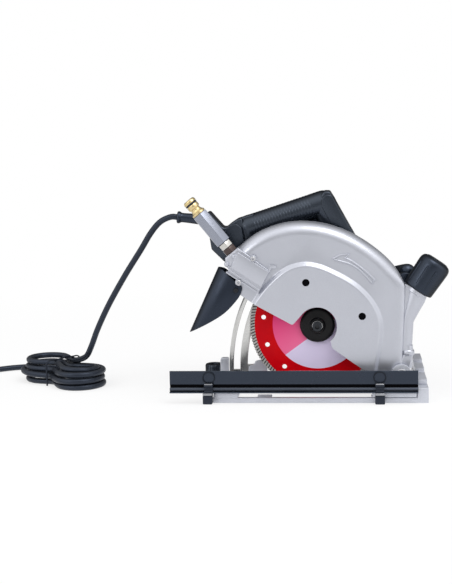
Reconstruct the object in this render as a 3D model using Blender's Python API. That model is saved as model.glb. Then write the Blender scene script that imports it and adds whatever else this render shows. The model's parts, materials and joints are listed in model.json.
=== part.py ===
"""Hand-held electric wet-cutting rescue saw with a swinging base, modelled piece by piece.

Sizes are in millimetres and become metres as meshes are made. In the saw's own axes x runs to the
front, z up from the underside of the base, and y away from the open side, from the blade's plane.
"""

import math

import bmesh
import bpy
from mathutils import Matrix, Vector

MM = 0.001
GAP = 0.3
RUN_GAP = 0.4
BLADE_PLANE_Y = -40.0
STEPS = 20
FINE_STEPS = 30

# Blade, flanges and spindle
BLADE_R = 90.0
BLADE_THICK = 2.4
BLADE_HOLE_R = 3.6
BLADE_HOLE_PCR = 72.0
BLADE_HOLES = 12
BLADE_HOLE_FROM = 112.0
ARBOR_Z = 97.0
ARBOR_R = 8.0
FLANGE_R = 23.0
FLANGE_THICK = 7.0
HUB_R = 9.6
HUB_LONG = 6.0
BOLT_HEAD_R = 6.4
BOLT_HEAD_LONG = 7.0
BOLT_HEX = 6.0
INNER_FLANGE_R = 21.0
INNER_FLANGE_THICK = 8.0

# Gears
MODULE = 1.2
GEAR_TEETH = 40
PINION_TEETH = 10
GEAR_FACE = 9.0
PINION_FACE = 13.0
TOOTH_SHARE = 0.34

# Guard
GUARD_X = -8.0
GUARD_Z = 101.0
GUARD_R = 132.0
GUARD_NEAR = -16.0
GUARD_FAR = 16.0
GUARD_WALL = 4.0
GUARD_RIM_R = 14.0
GUARD_FRONT_CUT = 9.0
GUARD_FOOT_BACK = 5.0
GUARD_FOOT_Z = 24.0
GUARD_REAR_ANGLE = 146.0
CROWN_DIP = 4.7
CROWN_SWELL = 5.4
CROWN_TURN = 0.56
CROWN_WAVE = 0.60
GUARD_REAR_CUT = (17.4, -35.8)
GUARD_NOSE = (-33.0, 99.9)
GUARD_MOUTH_R = 26.0
GUARD_MOUTH_FROM = 137.0
GUARD_MOUTH_TO = -52.0
GUARD_BELLY_BACK = 24.0
PLATEAU_RISE = 5.0
PLATEAU_SLOPE = 4.0
PLATEAU_STEP = 0.4
GUARD_BACK_THICK = 2.8
GUARD_HOLE_R = 4.9
GUARD_HOLES = ((-14.2, 155.4), (58.6, 110.5))
GUARD_CORNER_BACK = 6.0

# Depth pivot, quadrant and clamp
PIVOT_BACK = 1.0
PIVOT_Z = 34.0
PIVOT_PIN_R = 5.0
PIVOT_BOSS_R = 12.0
PIVOT_EAR_R = 13.0
PIVOT_EAR_THICK = 7.0
QUADRANT_OUTER_R = 229.5
QUADRANT_WIDE = 25.0
QUADRANT_SLOT_W = 8.8
QUADRANT_THICK = 3.4
QUADRANT_FROM = -5.0
QUADRANT_TO = 36.0
SLOT_FROM = -0.6
CLAMP_ANGLE = 32.0
CLAMP_BOLT_R = 3.9
CLAMP_HEAD_R = 7.0
CLAMP_KNOB_R = 14.0
CLAMP_KNOB_LONG = 16.0

# Base
BASE_REAR_X = -147.0
BASE_REACH = 34.0
BASE_NEAR_Y = -42.0
BASE_FAR_Y = 122.0
PLATE_THICK = 4.0
BAR_WIDE = 6.0
BAR_TALL = 7.0
LIP_LONG = 14.0
LIP_TALL = 20.0
WINDOW_FAR_Y = 21.0
WINDOW_X = (-61.0, 70.0)
SIDE_WINDOW_X = (-106.0, -80.0)
SLOT_NEAR_Y = -8.0
SLOT_X = (-106.0, 80.0)
REAR_NOTCH_X = -121.0
REAR_NOTCH_Y = (-25.0, 22.4)
FOOT_REACH = (11.5, 16.5)
FOOT_DEEP = 10.0
REAR_LUG = (9.0, 46.0)
FRONT_LUG = (17.0, 38.5)
FOOT_TALL = 20.0
BRACKET_STEPS = ((-24.0, 30.0, 27.0), (29.0, 75.0, 31.0), (74.0, 117.0, 34.5))
BRACKET_LONG = 12.0
REAR_KNOB = (-145.0, 61.0)
REAR_KNOB_R = 11.5
REAR_KNOB_LONG = 18.0
REAR_BOSS_R = 8.0
REAR_BOSS_TALL = 14.0
REAR_STUD_R = 4.0
REAR_TAB_X = -157.0

# Splash rail and its clips
RAIL_X = (-193.0, 129.3)
RAIL_Z = (15.0, 43.5)
RAIL_WEB = 2.2
RAIL_BACK_Y = -44.0
RAIL_BEAD_Z = 20.0
RAIL_BEAD_R = 2.2
RAIL_LIP = 5.0
CLIP_X = (-141.8, 80.5)
CLIP_WIDE = 12.0
CLIP_THICK = 2.0
BAIL_R = 6.6
BAIL_WIRE_R = 0.8

# Water feed
FEED_Y = -8.0
FEED_REACH = (5.5, 20.9)
FEED_ANGLE = 129.1
LOCK_NUT = (10.5, 7.5)
STEEL_NUT = (10.5, 8.5)
HEX_BODY = (11.0, 49.0)
NIPPLE_LONG = 23.0
NIPPLE_R = 7.6
NIPPLE_BORE_R = 4.5
FEED_BORE_R = 4.2
RING_R = 7.9
RING_SECTION = 1.4
BLOCK_NEAR = -25.0
BLOCK_FAR = 4.0
WATER_SCREWS = ((35.0, 12.8), (15.5, -18.0))
WATER_SCREW_R = 3.6
WATER_SCREW_PROUD = 2.0

# Splash chute
CHUTE_WALL = 2.6
CHUTE_NEAR = -18.9
CHUTE_FAR = 22.0
CHUTE_ROUND = 17.0
CHUTE_TIP = (-53.6, -87.3)
CHUTE_TOP = (-13.6, -0.8)
CHUTE_SCREW = (11.4, -28.8)
CHUTE_SCREW_R = 3.4

# Motor and gear case
MOTOR_R = 42.0
MOTOR_WALL = 3.5
GEAR_CASE_FAR = 50.0
GEAR_CASE_WALL = 4.0
MOTOR_FAR = 150.0
END_CAP_LONG = 16.0
SHAFT_R = 5.0
BEARING_R = 11.0
BEARING_WIDE = 8.0
SPINDLE_BEARING_R = 16.0
REAR_BEARING_R = 9.5
REAR_BEARING_WIDE = 6.5
CORE_R = 23.0
CORE_FROM = 74.0
CORE_LONG = 44.0
STATOR_FIT = 0.7
STATOR_BORE_R = 24.0
COMMUTATOR_R = 13.0
COMMUTATOR_LONG = 14.0
FAN_ROOM = 4.5
FAN_BLADES = 7
FAN_THICK = 9.0
BRUSH = (6.0, 9.0)
BRUSH_CAP_R = 8.0

# Handle
HANDLE_NEAR = 30.0
HANDLE_FAR = 66.0
HANDLE_MID = 48.0
TRIGGER_WIDE = 13.0
TRIGGER_PIN_R = 2.2
TRIGGER_PIVOT = (4.0, 243.0)
CAVITY_WIDE = 18.0
BUTTON_R = 5.0
BUTTON_AT = (-24.0, 232.0)
BUTTON_TRAVEL = 3.0
BOOT_LONG = 47.0
BOOT_R = 7.6

# Front arm, knob and side handle
KNOB_AHEAD = 16.8
KNOB_LIFT = 141.6
KNOB_ANGLE = 55.8
KNOB_R = 19.6
KNOB_LONG = 46.0
KNOB_STUD_R = 5.0
ARM_HALF = 13.0
SIDE_HANDLE_R = 11.0
SIDE_HANDLE_AHEAD = 2.0
SIDE_HANDLE_LIFT = 163.0

# Cord
CORD_D = 8.2
CORD_R = CORD_D / 2
LAYER = 8.9
HANK_PITCH = 10.4
HANK_AT = (-365.0, 85.0)
HANK_TURN = -38.0
HANK_END_R = 25.0
HANK_HALF_RUN = 35.0
HANK_WAIST = 12.0
COIL_AT = (-580.0, 72.0)
COIL_OUTER_R = 57.5
COIL_PITCH = 10.0
COIL_TURNS = 2.5
COIL_START = 90.0
COIL_LEAVE = 28.0
FLOOR_Z = CORD_R + 0.1
LOOP_POINTS = 24
PLUG_R = 18.5
PLUG_LONG = 38.0
PIN_R = 2.4
PIN_SPREAD = 19.0
PIN_LONG = 19.0

SPINDLE = (0.0, ARBOR_Z)
CENTRE_DISTANCE = MODULE * (GEAR_TEETH + PINION_TEETH) / 2
MOTOR = (0.0, ARBOR_Z + CENTRE_DISTANCE)
STATOR_R = MOTOR_R - MOTOR_WALL - STATOR_FIT
FAN_R = MOTOR_R - MOTOR_WALL - FAN_ROOM
GUARD_FRONT_X = GUARD_X + GUARD_R - GUARD_FRONT_CUT
GUARD_FOOT_X = GUARD_FRONT_X - GUARD_FOOT_BACK
GUARD_BELLY = (GUARD_FOOT_X - GUARD_BELLY_BACK, GUARD_FOOT_Z)
PIVOT_X = GUARD_FOOT_X - PIVOT_BACK
BASE_FRONT_X = PIVOT_X + BASE_REACH
QUADRANT_INNER_R = QUADRANT_OUTER_R - QUADRANT_WIDE
FOOT_X = (PIVOT_X - QUADRANT_OUTER_R - FOOT_REACH[0], PIVOT_X - QUADRANT_INNER_R + FOOT_REACH[1])
QUADRANT_LUGS = (((FOOT_X[0], FOOT_X[0] + REAR_LUG[0]), REAR_LUG[1]),
                 ((FOOT_X[1] - FRONT_LUG[0], FOOT_X[1]), FRONT_LUG[1]))
KNOB_FROM = (GUARD_FRONT_X + KNOB_AHEAD, KNOB_LIFT)
SIDE_HANDLE_AT = (GUARD_FRONT_X + SIDE_HANDLE_AHEAD, SIDE_HANDLE_LIFT)
QUADRANT_NEAR = CHUTE_FAR + 0.8
QUADRANT_FAR = QUADRANT_NEAR + QUADRANT_THICK
SLOT_R = (QUADRANT_INNER_R + QUADRANT_OUTER_R) / 2 + 2.1
GUARD_BACK_NEAR = GUARD_FAR + GAP
GUARD_BACK_FAR = GUARD_BACK_NEAR + GUARD_BACK_THICK
GEAR_CASE_NEAR = GUARD_BACK_FAR + GAP
MOTOR_NEAR = GEAR_CASE_FAR + GAP
END_CAP_NEAR = MOTOR_FAR + GAP


def polar(centre, radius, degrees):
    angle = math.radians(degrees)
    return (centre[0] + radius * math.cos(angle), centre[1] + radius * math.sin(angle))


def arc(centre, radius, start, end, steps):
    return [polar(centre, radius, start + (end - start) * i / steps) for i in range(steps + 1)]


def from_rear(x, z):
    """Place given from the guard's rear end, for what is fixed there."""
    end = polar((GUARD_X, GUARD_Z), GUARD_R, GUARD_REAR_ANGLE)
    return (end[0] + x, end[1] + z)


def rounded(corners, steps=4):
    """Outline through corners (x, z, radius), each rounded by an arc of its radius."""
    outline = []
    for i, (x, z, radius) in enumerate(corners):
        here = Vector((x, z))
        if radius <= 0:
            outline.append((x, z))
            continue
        before = (Vector(corners[i - 1][:2]) - here).normalized()
        after = (Vector(corners[(i + 1) % len(corners)][:2]) - here).normalized()
        half = before.angle(after) / 2
        centre = here + (before + after).normalized() * radius / math.sin(half)
        first = here + before * radius / math.tan(half) - centre
        last = here + after * radius / math.tan(half) - centre
        sweep = first.angle_signed(last)
        for k in range(steps + 1):
            outline.append(tuple(centre + Matrix.Rotation(-sweep * k / steps, 2) @ first))
    return outline


def loft(rings):
    """Closed mesh through outlines of equal point counts, given as (outline, y)."""
    bm = bmesh.new()
    loops = [[bm.verts.new((x * MM, y * MM, z * MM)) for x, z in outline] for outline, y in rings]
    for near, far in zip(loops, loops[1:]):
        for i in range(len(near)):
            j = (i + 1) % len(near)
            bm.faces.new((near[i], near[j], far[j], far[i]))
    bm.faces.new(loops[0])
    bm.faces.new(loops[-1])
    bmesh.ops.recalc_face_normals(bm, faces=bm.faces)
    return bm


def prism(outline, near, far):
    return loft([(outline, near), (outline, far)])


def box(x, y, z):
    return prism([(x[0], z[0]), (x[1], z[0]), (x[1], z[1]), (x[0], z[1])], y[0], y[1])


def slab(outline, low, high):
    """Plate whose outline is given in x and y, between two heights."""
    bm = prism([(x, -y) for x, y in outline], low, high)
    bm.transform(Matrix.Rotation(math.radians(90), 4, "X"))
    return bm


def lathe(profile, at, axis="Y", steps=STEPS, angle=0.0):
    """Turned piece: (radius, length) points, about an axis through the point at."""
    bm = bmesh.new()
    verts = [bm.verts.new((r * MM, 0, s * MM)) for r, s in profile]
    closed = profile[0][0] > 0
    pairs = list(zip(verts, verts[1:])) + ([(verts[-1], verts[0])] if closed else [])
    edges = [bm.edges.new(pair) for pair in pairs]
    bmesh.ops.spin(bm, geom=verts + edges, cent=(0, 0, 0), axis=(0, 0, 1), dvec=(0, 0, 0),
                   angle=2 * math.pi, steps=steps, use_merge=True)
    bmesh.ops.remove_doubles(bm, verts=bm.verts, dist=1e-7)
    bmesh.ops.recalc_face_normals(bm, faces=bm.faces)
    turn = {
        "X": Matrix.Rotation(math.radians(90), 4, "Y"),
        "Y": Matrix.Rotation(math.radians(-90), 4, "X"),
        "Z": Matrix.Identity(4),
        "FEED": Matrix.Rotation(math.radians(90 - angle), 4, "Y"),
    }[axis]
    bm.transform(Matrix.Translation(Vector(at) * MM) @ turn)
    return bm


def bar(radius, near, far):
    """Profile of a plain round bar, for a turned piece."""
    return [(0, near), (radius, near), (radius, far), (0, far)]


def rod(radius, near, far, at, bore=0.0, steps=STEPS):
    """Round bar along y at (x, z), with a bore where one is given."""
    profile = [(bore, near), (radius, near), (radius, far), (bore, far)]
    return lathe(profile, (at[0], 0, at[1]), steps=steps)


def hexagon(across_corners, turn=0.0):
    return [polar((0, 0), across_corners, 60 * i + turn) for i in range(6)]


def bevel_edges(bm, chosen, width, segments):
    bmesh.ops.bevel(bm, geom=chosen, offset=width * MM, offset_type="OFFSET", segments=segments,
                    profile=0.5, affect="EDGES", clamp_overlap=True)


def edges_between(bm, test):
    """Edges whose two ends both pass the test, given in millimetres."""
    return [e for e in bm.edges if all(test(*(v.co / MM)) for v in e.verts)]


def material(name, colour, roughness, metallic):
    made = bpy.data.materials.new(name)
    made.use_nodes = True
    shader = made.node_tree.nodes["Principled BSDF"]
    shader.inputs["Base Color"].default_value = (*colour, 1.0)
    shader.inputs["Roughness"].default_value = roughness
    shader.inputs["Metallic"].default_value = metallic
    return made


def place(name, data, parent, pivot):
    obj = bpy.data.objects.new(name, data)
    bpy.context.scene.collection.objects.link(obj)
    obj.location = Vector(pivot) * MM
    obj.parent = parent
    return obj


def piece(name, bm, finish, parent, pivot=(0, 0, 0)):
    """One finished piece; its mesh is drawn in the saw's axes and hung on its pivot."""
    mesh = bpy.data.meshes.new(name)
    bm.transform(Matrix.Translation(-Vector(pivot) * MM))
    bm.to_mesh(mesh)
    bm.free()
    mesh.materials.append(finish)
    mesh.shade_smooth()
    mesh.set_sharp_from_angle(angle=math.radians(35))
    return place(name, mesh, parent, pivot)


def tool(obj, bm, operation="DIFFERENCE"):
    """Cuts a helper shape out of a piece, or joins it on."""
    mesh = bpy.data.meshes.new(obj.name + "_tool")
    bm.transform(Matrix.Translation(-obj.location))
    bm.to_mesh(mesh)
    bm.free()
    helper = place(mesh.name, mesh, obj.parent, obj.location / MM)
    helper.hide_render = True
    helper.display_type = "WIRE"
    boolean = obj.modifiers.new(operation.lower(), "BOOLEAN")
    boolean.operation = operation
    boolean.solver = "EXACT"
    boolean.object = helper


def join(obj, bm):
    tool(obj, bm, "UNION")


def together(parts):
    """Several separate helper shapes as one mesh."""
    merged = bmesh.new()
    for bm in parts:
        mesh = bpy.data.meshes.new("helper")
        bm.to_mesh(mesh)
        bm.free()
        merged.from_mesh(mesh)
        bpy.data.meshes.remove(mesh)
    return merged


def gear_outline(centre, teeth, phase):
    """Slim straight-sided teeth on the pitch circle, with room to run in mesh."""
    pitch_r = MODULE * teeth / 2
    tip_r, root_r = pitch_r + 0.8 * MODULE, pitch_r - 1.25 * MODULE
    at_pitch = 360.0 / teeth * TOOTH_SHARE / 2
    outline = []
    for i in range(teeth):
        middle = phase + 360.0 * i / teeth
        for radius, spread in ((root_r, -1.45), (tip_r, -0.5), (tip_r, 0.5), (root_r, 1.45)):
            outline.append(polar(centre, radius, middle + at_pitch * spread))
    return outline


def frame_empty(name, parent=None, at=(0, 0, 0)):
    return place(name, None, parent, at)


def crown_swell(share):
    """How far the crown stands off its circle: flatter towards the front, fuller towards the rear."""
    if share < CROWN_TURN:
        return -CROWN_DIP * math.sin(math.pi * share / CROWN_TURN)
    return CROWN_SWELL * math.sin(math.pi * (share - CROWN_TURN) / CROWN_WAVE)


def guard_side(inset, steps, beyond=0.0):
    """Guard's front and crown, from the foot up over the top to the rear end."""
    front = math.degrees(math.acos((GUARD_FRONT_X - GUARD_X) / GUARD_R))
    turn = GUARD_REAR_ANGLE - front
    side = [(GUARD_FOOT_X - inset, GUARD_FOOT_Z)]
    for i in range(steps + 1):
        share = (1 + beyond / turn) * i / steps
        radius = GUARD_R - inset + crown_swell(share)
        side.append(polar((GUARD_X, GUARD_Z), radius, front + turn * share))
    return side


def guard_outline(inset=0.0, mouth=True):
    """Guard's side view: front, crown, rear end and the lower edge that bares the blade."""
    lower = [from_rear(*GUARD_REAR_CUT)]
    if mouth:
        lower.append(GUARD_NOSE)
        lower += arc(SPINDLE, GUARD_MOUTH_R, GUARD_MOUTH_FROM, GUARD_MOUTH_TO, 14)
    else:
        lower.append((GUARD_NOSE[0], GUARD_NOSE[1] - 14.0))
    lower.append(GUARD_BELLY)
    return guard_side(inset, FINE_STEPS // 2) + lower


def guard_envelope(grow=0.0):
    """Guard's outer body with its rounded near rim, grown where a neighbour is fitted to it."""
    rim_steps = 5
    rings = []
    for i in range(rim_steps + 1):
        turn = math.radians(90 * i / rim_steps)
        inset = GUARD_RIM_R * (1 - math.sin(turn)) - grow
        rings.append((guard_outline(inset), GUARD_NEAR - grow + GUARD_RIM_R * (1 - math.cos(turn))))
    rings.append((guard_outline(-grow), GUARD_FAR + grow))
    return loft(rings)


def guard_cavity():
    """Room for the blade: open at the rear end, below and at the far side."""
    wall = GUARD_WALL
    steps = FINE_STEPS // 2
    rings = []
    stations = ((wall + 8.0, GUARD_NEAR + 3.5), (wall + 2.4, GUARD_NEAR + 6.0), (wall, GUARD_NEAR + 11.0),
                (wall, GUARD_FAR + 1.0))
    for inset, y in stations:
        crown = guard_side(inset, steps, 8.0)[1:]
        rear = [(-150.0, 140.0), (-110.0, 60.0), (0.0, 0.0), (70.0, 10.0)]
        corner = [(GUARD_BELLY[0], 46.0), (GUARD_FOOT_X - GUARD_CORNER_BACK - inset + wall, 64.0)]
        rings.append((crown + rear + corner, y))
    return loft(rings)


def plateau_outline(inset=0.0):
    """Raised face on the guard, one wide arch from the rear edge over to the front foot."""
    centre, radius = (0.0, 96.0), 86.0 - inset
    crown = arc(centre, radius, -38.0, 155.0, FINE_STEPS // 2)
    lower = [(-76.0 + inset, 123.6), (GUARD_NOSE[0], GUARD_NOSE[1] + PLATEAU_STEP)]
    lower += arc(SPINDLE, GUARD_MOUTH_R + PLATEAU_STEP, GUARD_MOUTH_FROM, GUARD_MOUTH_TO, 14)
    return crown + lower


def plateau_body(grow=0.0):
    """Raised face as a solid, grown where a neighbour is fitted to it."""
    near = GUARD_NEAR - PLATEAU_RISE - grow
    return loft([(plateau_outline(PLATEAU_SLOPE - grow), near), (plateau_outline(-grow), GUARD_NEAR + 1.0)])


def make_guard(head, finish):
    shell = piece("guard_shell", guard_envelope(), finish["cast"], head)
    near = GUARD_NEAR - PLATEAU_RISE
    join(shell, plateau_body())
    join(shell, rod(PIVOT_BOSS_R, GUARD_NEAR - 0.2, GUARD_FAR - 0.2, (PIVOT_X, PIVOT_Z)))
    tool(shell, guard_cavity())
    for at in GUARD_HOLES:
        tool(shell, rod(GUARD_HOLE_R, near - 1, GUARD_NEAR + 8, at, steps=16))
    tool(shell, rod(PIVOT_PIN_R + RUN_GAP, -40, 40, (PIVOT_X, PIVOT_Z)))
    tool(shell, rod(CHUTE_SCREW_R - 1.3 + GAP, -40, 0, from_rear(*CHUTE_SCREW), steps=12))
    sheet = prism(guard_outline(mouth=False), GUARD_BACK_NEAR, GUARD_BACK_FAR)
    back = piece("guard_back", sheet, finish["cast"], head)
    tool(back, rod(SPINDLE_BEARING_R + 3 + GAP, 0, 40, SPINDLE))
    tool(back, rod(PIVOT_EAR_R + 2.0, 0, 40, (PIVOT_X, PIVOT_Z)))
    tool(back, rod(CLAMP_BOLT_R + GAP, 0, 40, clamp_at(), steps=16))


def clamp_at():
    return polar((PIVOT_X, PIVOT_Z), SLOT_R, 180.0 - CLAMP_ANGLE)


def make_water_feed(head, finish):
    corners = ((4.9, -2.8, 3.0), (46.4, -24.4, 3.0), (56.9, -4.3, 3.0), (15.0, 28.2, 2.0), (-1.6, 14.7, 2.0))
    outline = rounded([(*from_rear(x, z), radius) for x, z, radius in corners], 3)
    body = prism(outline, BLOCK_NEAR, BLOCK_FAR)
    block = piece("water_block", body, finish["cast"], head)
    tool(block, guard_envelope(GAP))
    tool(block, plateau_body(GAP))
    screws = [from_rear(*at) for at in WATER_SCREWS]
    for at in screws:
        tool(block, rod(WATER_SCREW_R + GAP, -40, 0, at, steps=16))
    for name, at in zip(("water_screw_upper", "water_screw_lower"), screws):
        screw = rod(WATER_SCREW_R, BLOCK_NEAR - WATER_SCREW_PROUD, CHUTE_NEAR - 2 * GAP, at, steps=16)
        piece(name, screw, finish["steel"], head)
    start = Vector(from_rear(*FEED_REACH))
    along = Vector(polar((0, 0), 1.0, FEED_ANGLE))
    reach = 0.0
    for name, (radius, long), look in (("lock_nut", LOCK_NUT, "bronze"), ("steel_nut", STEEL_NUT, "steel"),
                                       ("hex_extension", HEX_BODY, "cast")):
        bm = loft([(hexagon(radius, 30.0), reach), (hexagon(radius, 30.0), reach + long - GAP)])
        hexes = place_along(bm, start, FEED_ANGLE)
        made = piece(name, hexes, finish[look], head)
        bore = rod(FEED_BORE_R, reach - 1, reach + long + 1, (0, 0), steps=16)
        tool(made, place_along(bore, start, FEED_ANGLE))
        reach += long
    foot = start + along * reach
    groove = NIPPLE_LONG - 5.0
    half = RING_SECTION / 2
    seat = RING_R - RING_SECTION - GAP
    nipple = [(NIPPLE_BORE_R, 0), (9.0, 0), (9.0, 3.0), (5.8, 3.0), (5.8, 8.0), (8.4, 9.5), (8.4, 11.5),
              (NIPPLE_R - 0.6, 13.5), (NIPPLE_R - 0.6, groove - half - GAP), (seat, groove - half - GAP),
              (seat, groove + half + GAP), (NIPPLE_R, groove + half + GAP), (NIPPLE_R - 0.8, NIPPLE_LONG),
              (NIPPLE_BORE_R, NIPPLE_LONG)]
    tip = place_along(lathe(nipple, (0, 0, 0), steps=16), foot, FEED_ANGLE)
    piece("hose_nipple", tip, finish["brass"], head)
    section = [polar((RING_R - half, groove), half, 60 * i) for i in range(6)]
    ring = place_along(lathe(section, (0, 0, 0), steps=16), foot, FEED_ANGLE)
    piece("nipple_o_ring", ring, finish["rubber"], head)


def place_along(bm, start, angle):
    """Turns a piece drawn along y so that it runs up the feed's slope from its start."""
    ahead = Vector(polar((0, 0), 1.0, angle))
    turn = Matrix(((ahead.y, ahead.x, 0), (0, 0, -1), (-ahead.x, ahead.y, 0))).to_4x4()
    bm.transform(Matrix.Translation(Vector((start[0], FEED_Y, start[1])) * MM) @ turn)
    return bm


def along_side(bm, start, side):
    """Edges of a prism that run along a line in its side view, on both faces."""
    on_line = edges_between(bm, lambda x, y, z: abs((Vector((x, z)) - start).cross(side)) < 0.05)
    return [e for e in on_line if abs(e.verts[0].co.y - e.verts[1].co.y) < 1e-6]


def make_chute(head, finish):
    """Rubber chute: two cheeks and a half-round back that runs straight from its tip to its top."""
    top, tip = Vector(from_rear(*CHUTE_TOP)), Vector(from_rear(*CHUTE_TIP))
    side = (top - tip).normalized()
    inward = Vector((side.y, -side.x))
    edge = ((-23.2, -71.3), (-2.5, -57.8), (14.9, -38.8), (20.4, -26.8), (10.4, -17.3), (-5.6, 0.2))
    outline = [tuple(tip)] + [from_rear(*at) for at in edge] + [tuple(top)]
    bm = prism(outline, CHUTE_NEAR, CHUTE_FAR)
    bevel_edges(bm, along_side(bm, tip, side), CHUTE_ROUND, 5)
    chute = piece("splash_chute", bm, finish["rubber"], head)
    low = tip + inward * CHUTE_WALL - side * 30.0
    high = top + inward * CHUTE_WALL + side * 30.0
    room = [tuple(low), tuple(low + inward * 120.0), tuple(high + inward * 120.0), tuple(high)]
    inner = prism(room, CHUTE_NEAR + CHUTE_WALL, CHUTE_FAR - CHUTE_WALL)
    bevel_edges(inner, along_side(inner, low, side), CHUTE_ROUND - CHUTE_WALL, 5)
    tool(chute, inner)
    shank = CHUTE_SCREW_R - 1.3
    at = from_rear(*CHUTE_SCREW)
    tool(chute, rod(shank + GAP, -40, 0, at, steps=12))
    head_near, shank_far = CHUTE_NEAR - 2.4, GUARD_NEAR + 2.0
    screw = [(0, head_near), (CHUTE_SCREW_R, head_near), (CHUTE_SCREW_R, CHUTE_NEAR - GAP),
             (shank, CHUTE_NEAR - GAP), (shank, shank_far), (0, shank_far)]
    turned = lathe(screw, (at[0], 0, at[1]), steps=12)
    piece("chute_screw", turned, finish["black_steel"], head)


def make_blade(head, finish):
    pivot = (SPINDLE[0], 0.0, SPINDLE[1])
    spin = frame_empty("blade_axis", head, pivot)
    half = BLADE_THICK / 2

    def turning(name, bm, look):
        bm.transform(Matrix.Translation(-Vector(pivot) * MM))
        return piece(name, bm, finish[look], spin)

    blade = turning("blade", rod(BLADE_R, -half, half, SPINDLE, ARBOR_R + GAP, steps=60), "blade_red")
    turns = [BLADE_HOLE_FROM + 360.0 * i / BLADE_HOLES for i in range(BLADE_HOLES)]
    spots = [polar((0, 0), BLADE_HOLE_PCR, turn) for turn in turns]
    tool(blade, together([rod(BLADE_HOLE_R, -10, 10, at, steps=8) for at in spots]))
    outer = -half - GAP
    flange = [(ARBOR_R + GAP, outer), (FLANGE_R, outer), (FLANGE_R, outer - FLANGE_THICK + 2),
              (FLANGE_R - 2, outer - FLANGE_THICK), (HUB_R, outer - FLANGE_THICK),
              (HUB_R - 1, outer - FLANGE_THICK - HUB_LONG), (ARBOR_R + GAP, outer - FLANGE_THICK - HUB_LONG)]
    turning("outer_flange", lathe(flange, pivot, steps=24), "black_steel")
    bolt_near = outer - FLANGE_THICK - HUB_LONG - GAP
    bolt = rod(BOLT_HEAD_R, bolt_near - BOLT_HEAD_LONG, bolt_near, SPINDLE)
    arbor_bolt = turning("arbor_bolt", bolt, "black_steel")
    socket = prism(hexagon(BOLT_HEX / 2 * 1.155), bolt_near - BOLT_HEAD_LONG - 1, bolt_near - 3.0)
    tool(arbor_bolt, socket)
    inner = half + GAP
    inner_far = inner + INNER_FLANGE_THICK
    turning("inner_flange", rod(INNER_FLANGE_R, inner, inner_far, SPINDLE, ARBOR_R + GAP), "steel")
    gear_near = GEAR_CASE_NEAR + GEAR_CASE_WALL + BEARING_WIDE + 1.0
    spindle_near = bolt_near + GAP
    step_far, spindle_far = GEAR_CASE_FAR - 2.0, MOTOR_NEAR + REAR_BEARING_WIDE
    spindle = [(0, spindle_near), (ARBOR_R, spindle_near), (ARBOR_R, step_far), (SHAFT_R, step_far),
               (SHAFT_R, spindle_far), (0, spindle_far)]
    turning("spindle", lathe(spindle, pivot), "steel")
    toothed = prism(gear_outline(SPINDLE, GEAR_TEETH, 90.0), gear_near, gear_near + GEAR_FACE)
    gear = turning("spindle_gear", toothed, "steel")
    tool(gear, rod(ARBOR_R + GAP, 0, 80, (0, 0)))
    return gear_near


def make_gear_case(head, finish, gear_near):
    wall = GEAR_CASE_WALL
    gear_r = MODULE * GEAR_TEETH / 2 + MODULE + 1.2
    outer_r = gear_r + wall
    cup = rod(outer_r, GEAR_CASE_NEAR, GEAR_CASE_FAR, SPINDLE, steps=26)
    case = piece("gear_case", cup, finish["cast"], head)
    join(case, rod(MOTOR_R, GEAR_CASE_FAR - 12.0, GEAR_CASE_FAR, MOTOR, steps=FINE_STEPS))
    neck = box((-24.0, 24.0), (GEAR_CASE_FAR - 18.0, GEAR_CASE_FAR), (ARBOR_Z + 20, handle_seat() - GAP))
    join(case, neck)
    nose_near = GUARD_BACK_NEAR - 2.0
    join(case, rod(SPINDLE_BEARING_R + 3, nose_near, GEAR_CASE_NEAR + 2, SPINDLE))
    tool(case, rod(gear_r, GEAR_CASE_NEAR + wall + BEARING_WIDE - 1, GEAR_CASE_FAR + 1, SPINDLE, steps=26))
    tool(case, rod(BEARING_R + 3.0, gear_near - 3.0, GEAR_CASE_FAR + 1, MOTOR))
    tool(case, rod(SPINDLE_BEARING_R + GAP, GEAR_CASE_NEAR + wall, GEAR_CASE_FAR, SPINDLE))
    tool(case, rod(ARBOR_R + 2.0, 0, 60, SPINDLE))
    front = GEAR_CASE_NEAR + wall + GAP
    bearing = rod(SPINDLE_BEARING_R, front, front + BEARING_WIDE - 1.0, SPINDLE, ARBOR_R + GAP)
    piece("spindle_bearing_front", bearing, finish["steel"], head)


def handle_seat():
    return MOTOR[1] + MOTOR_R + 2.0


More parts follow.
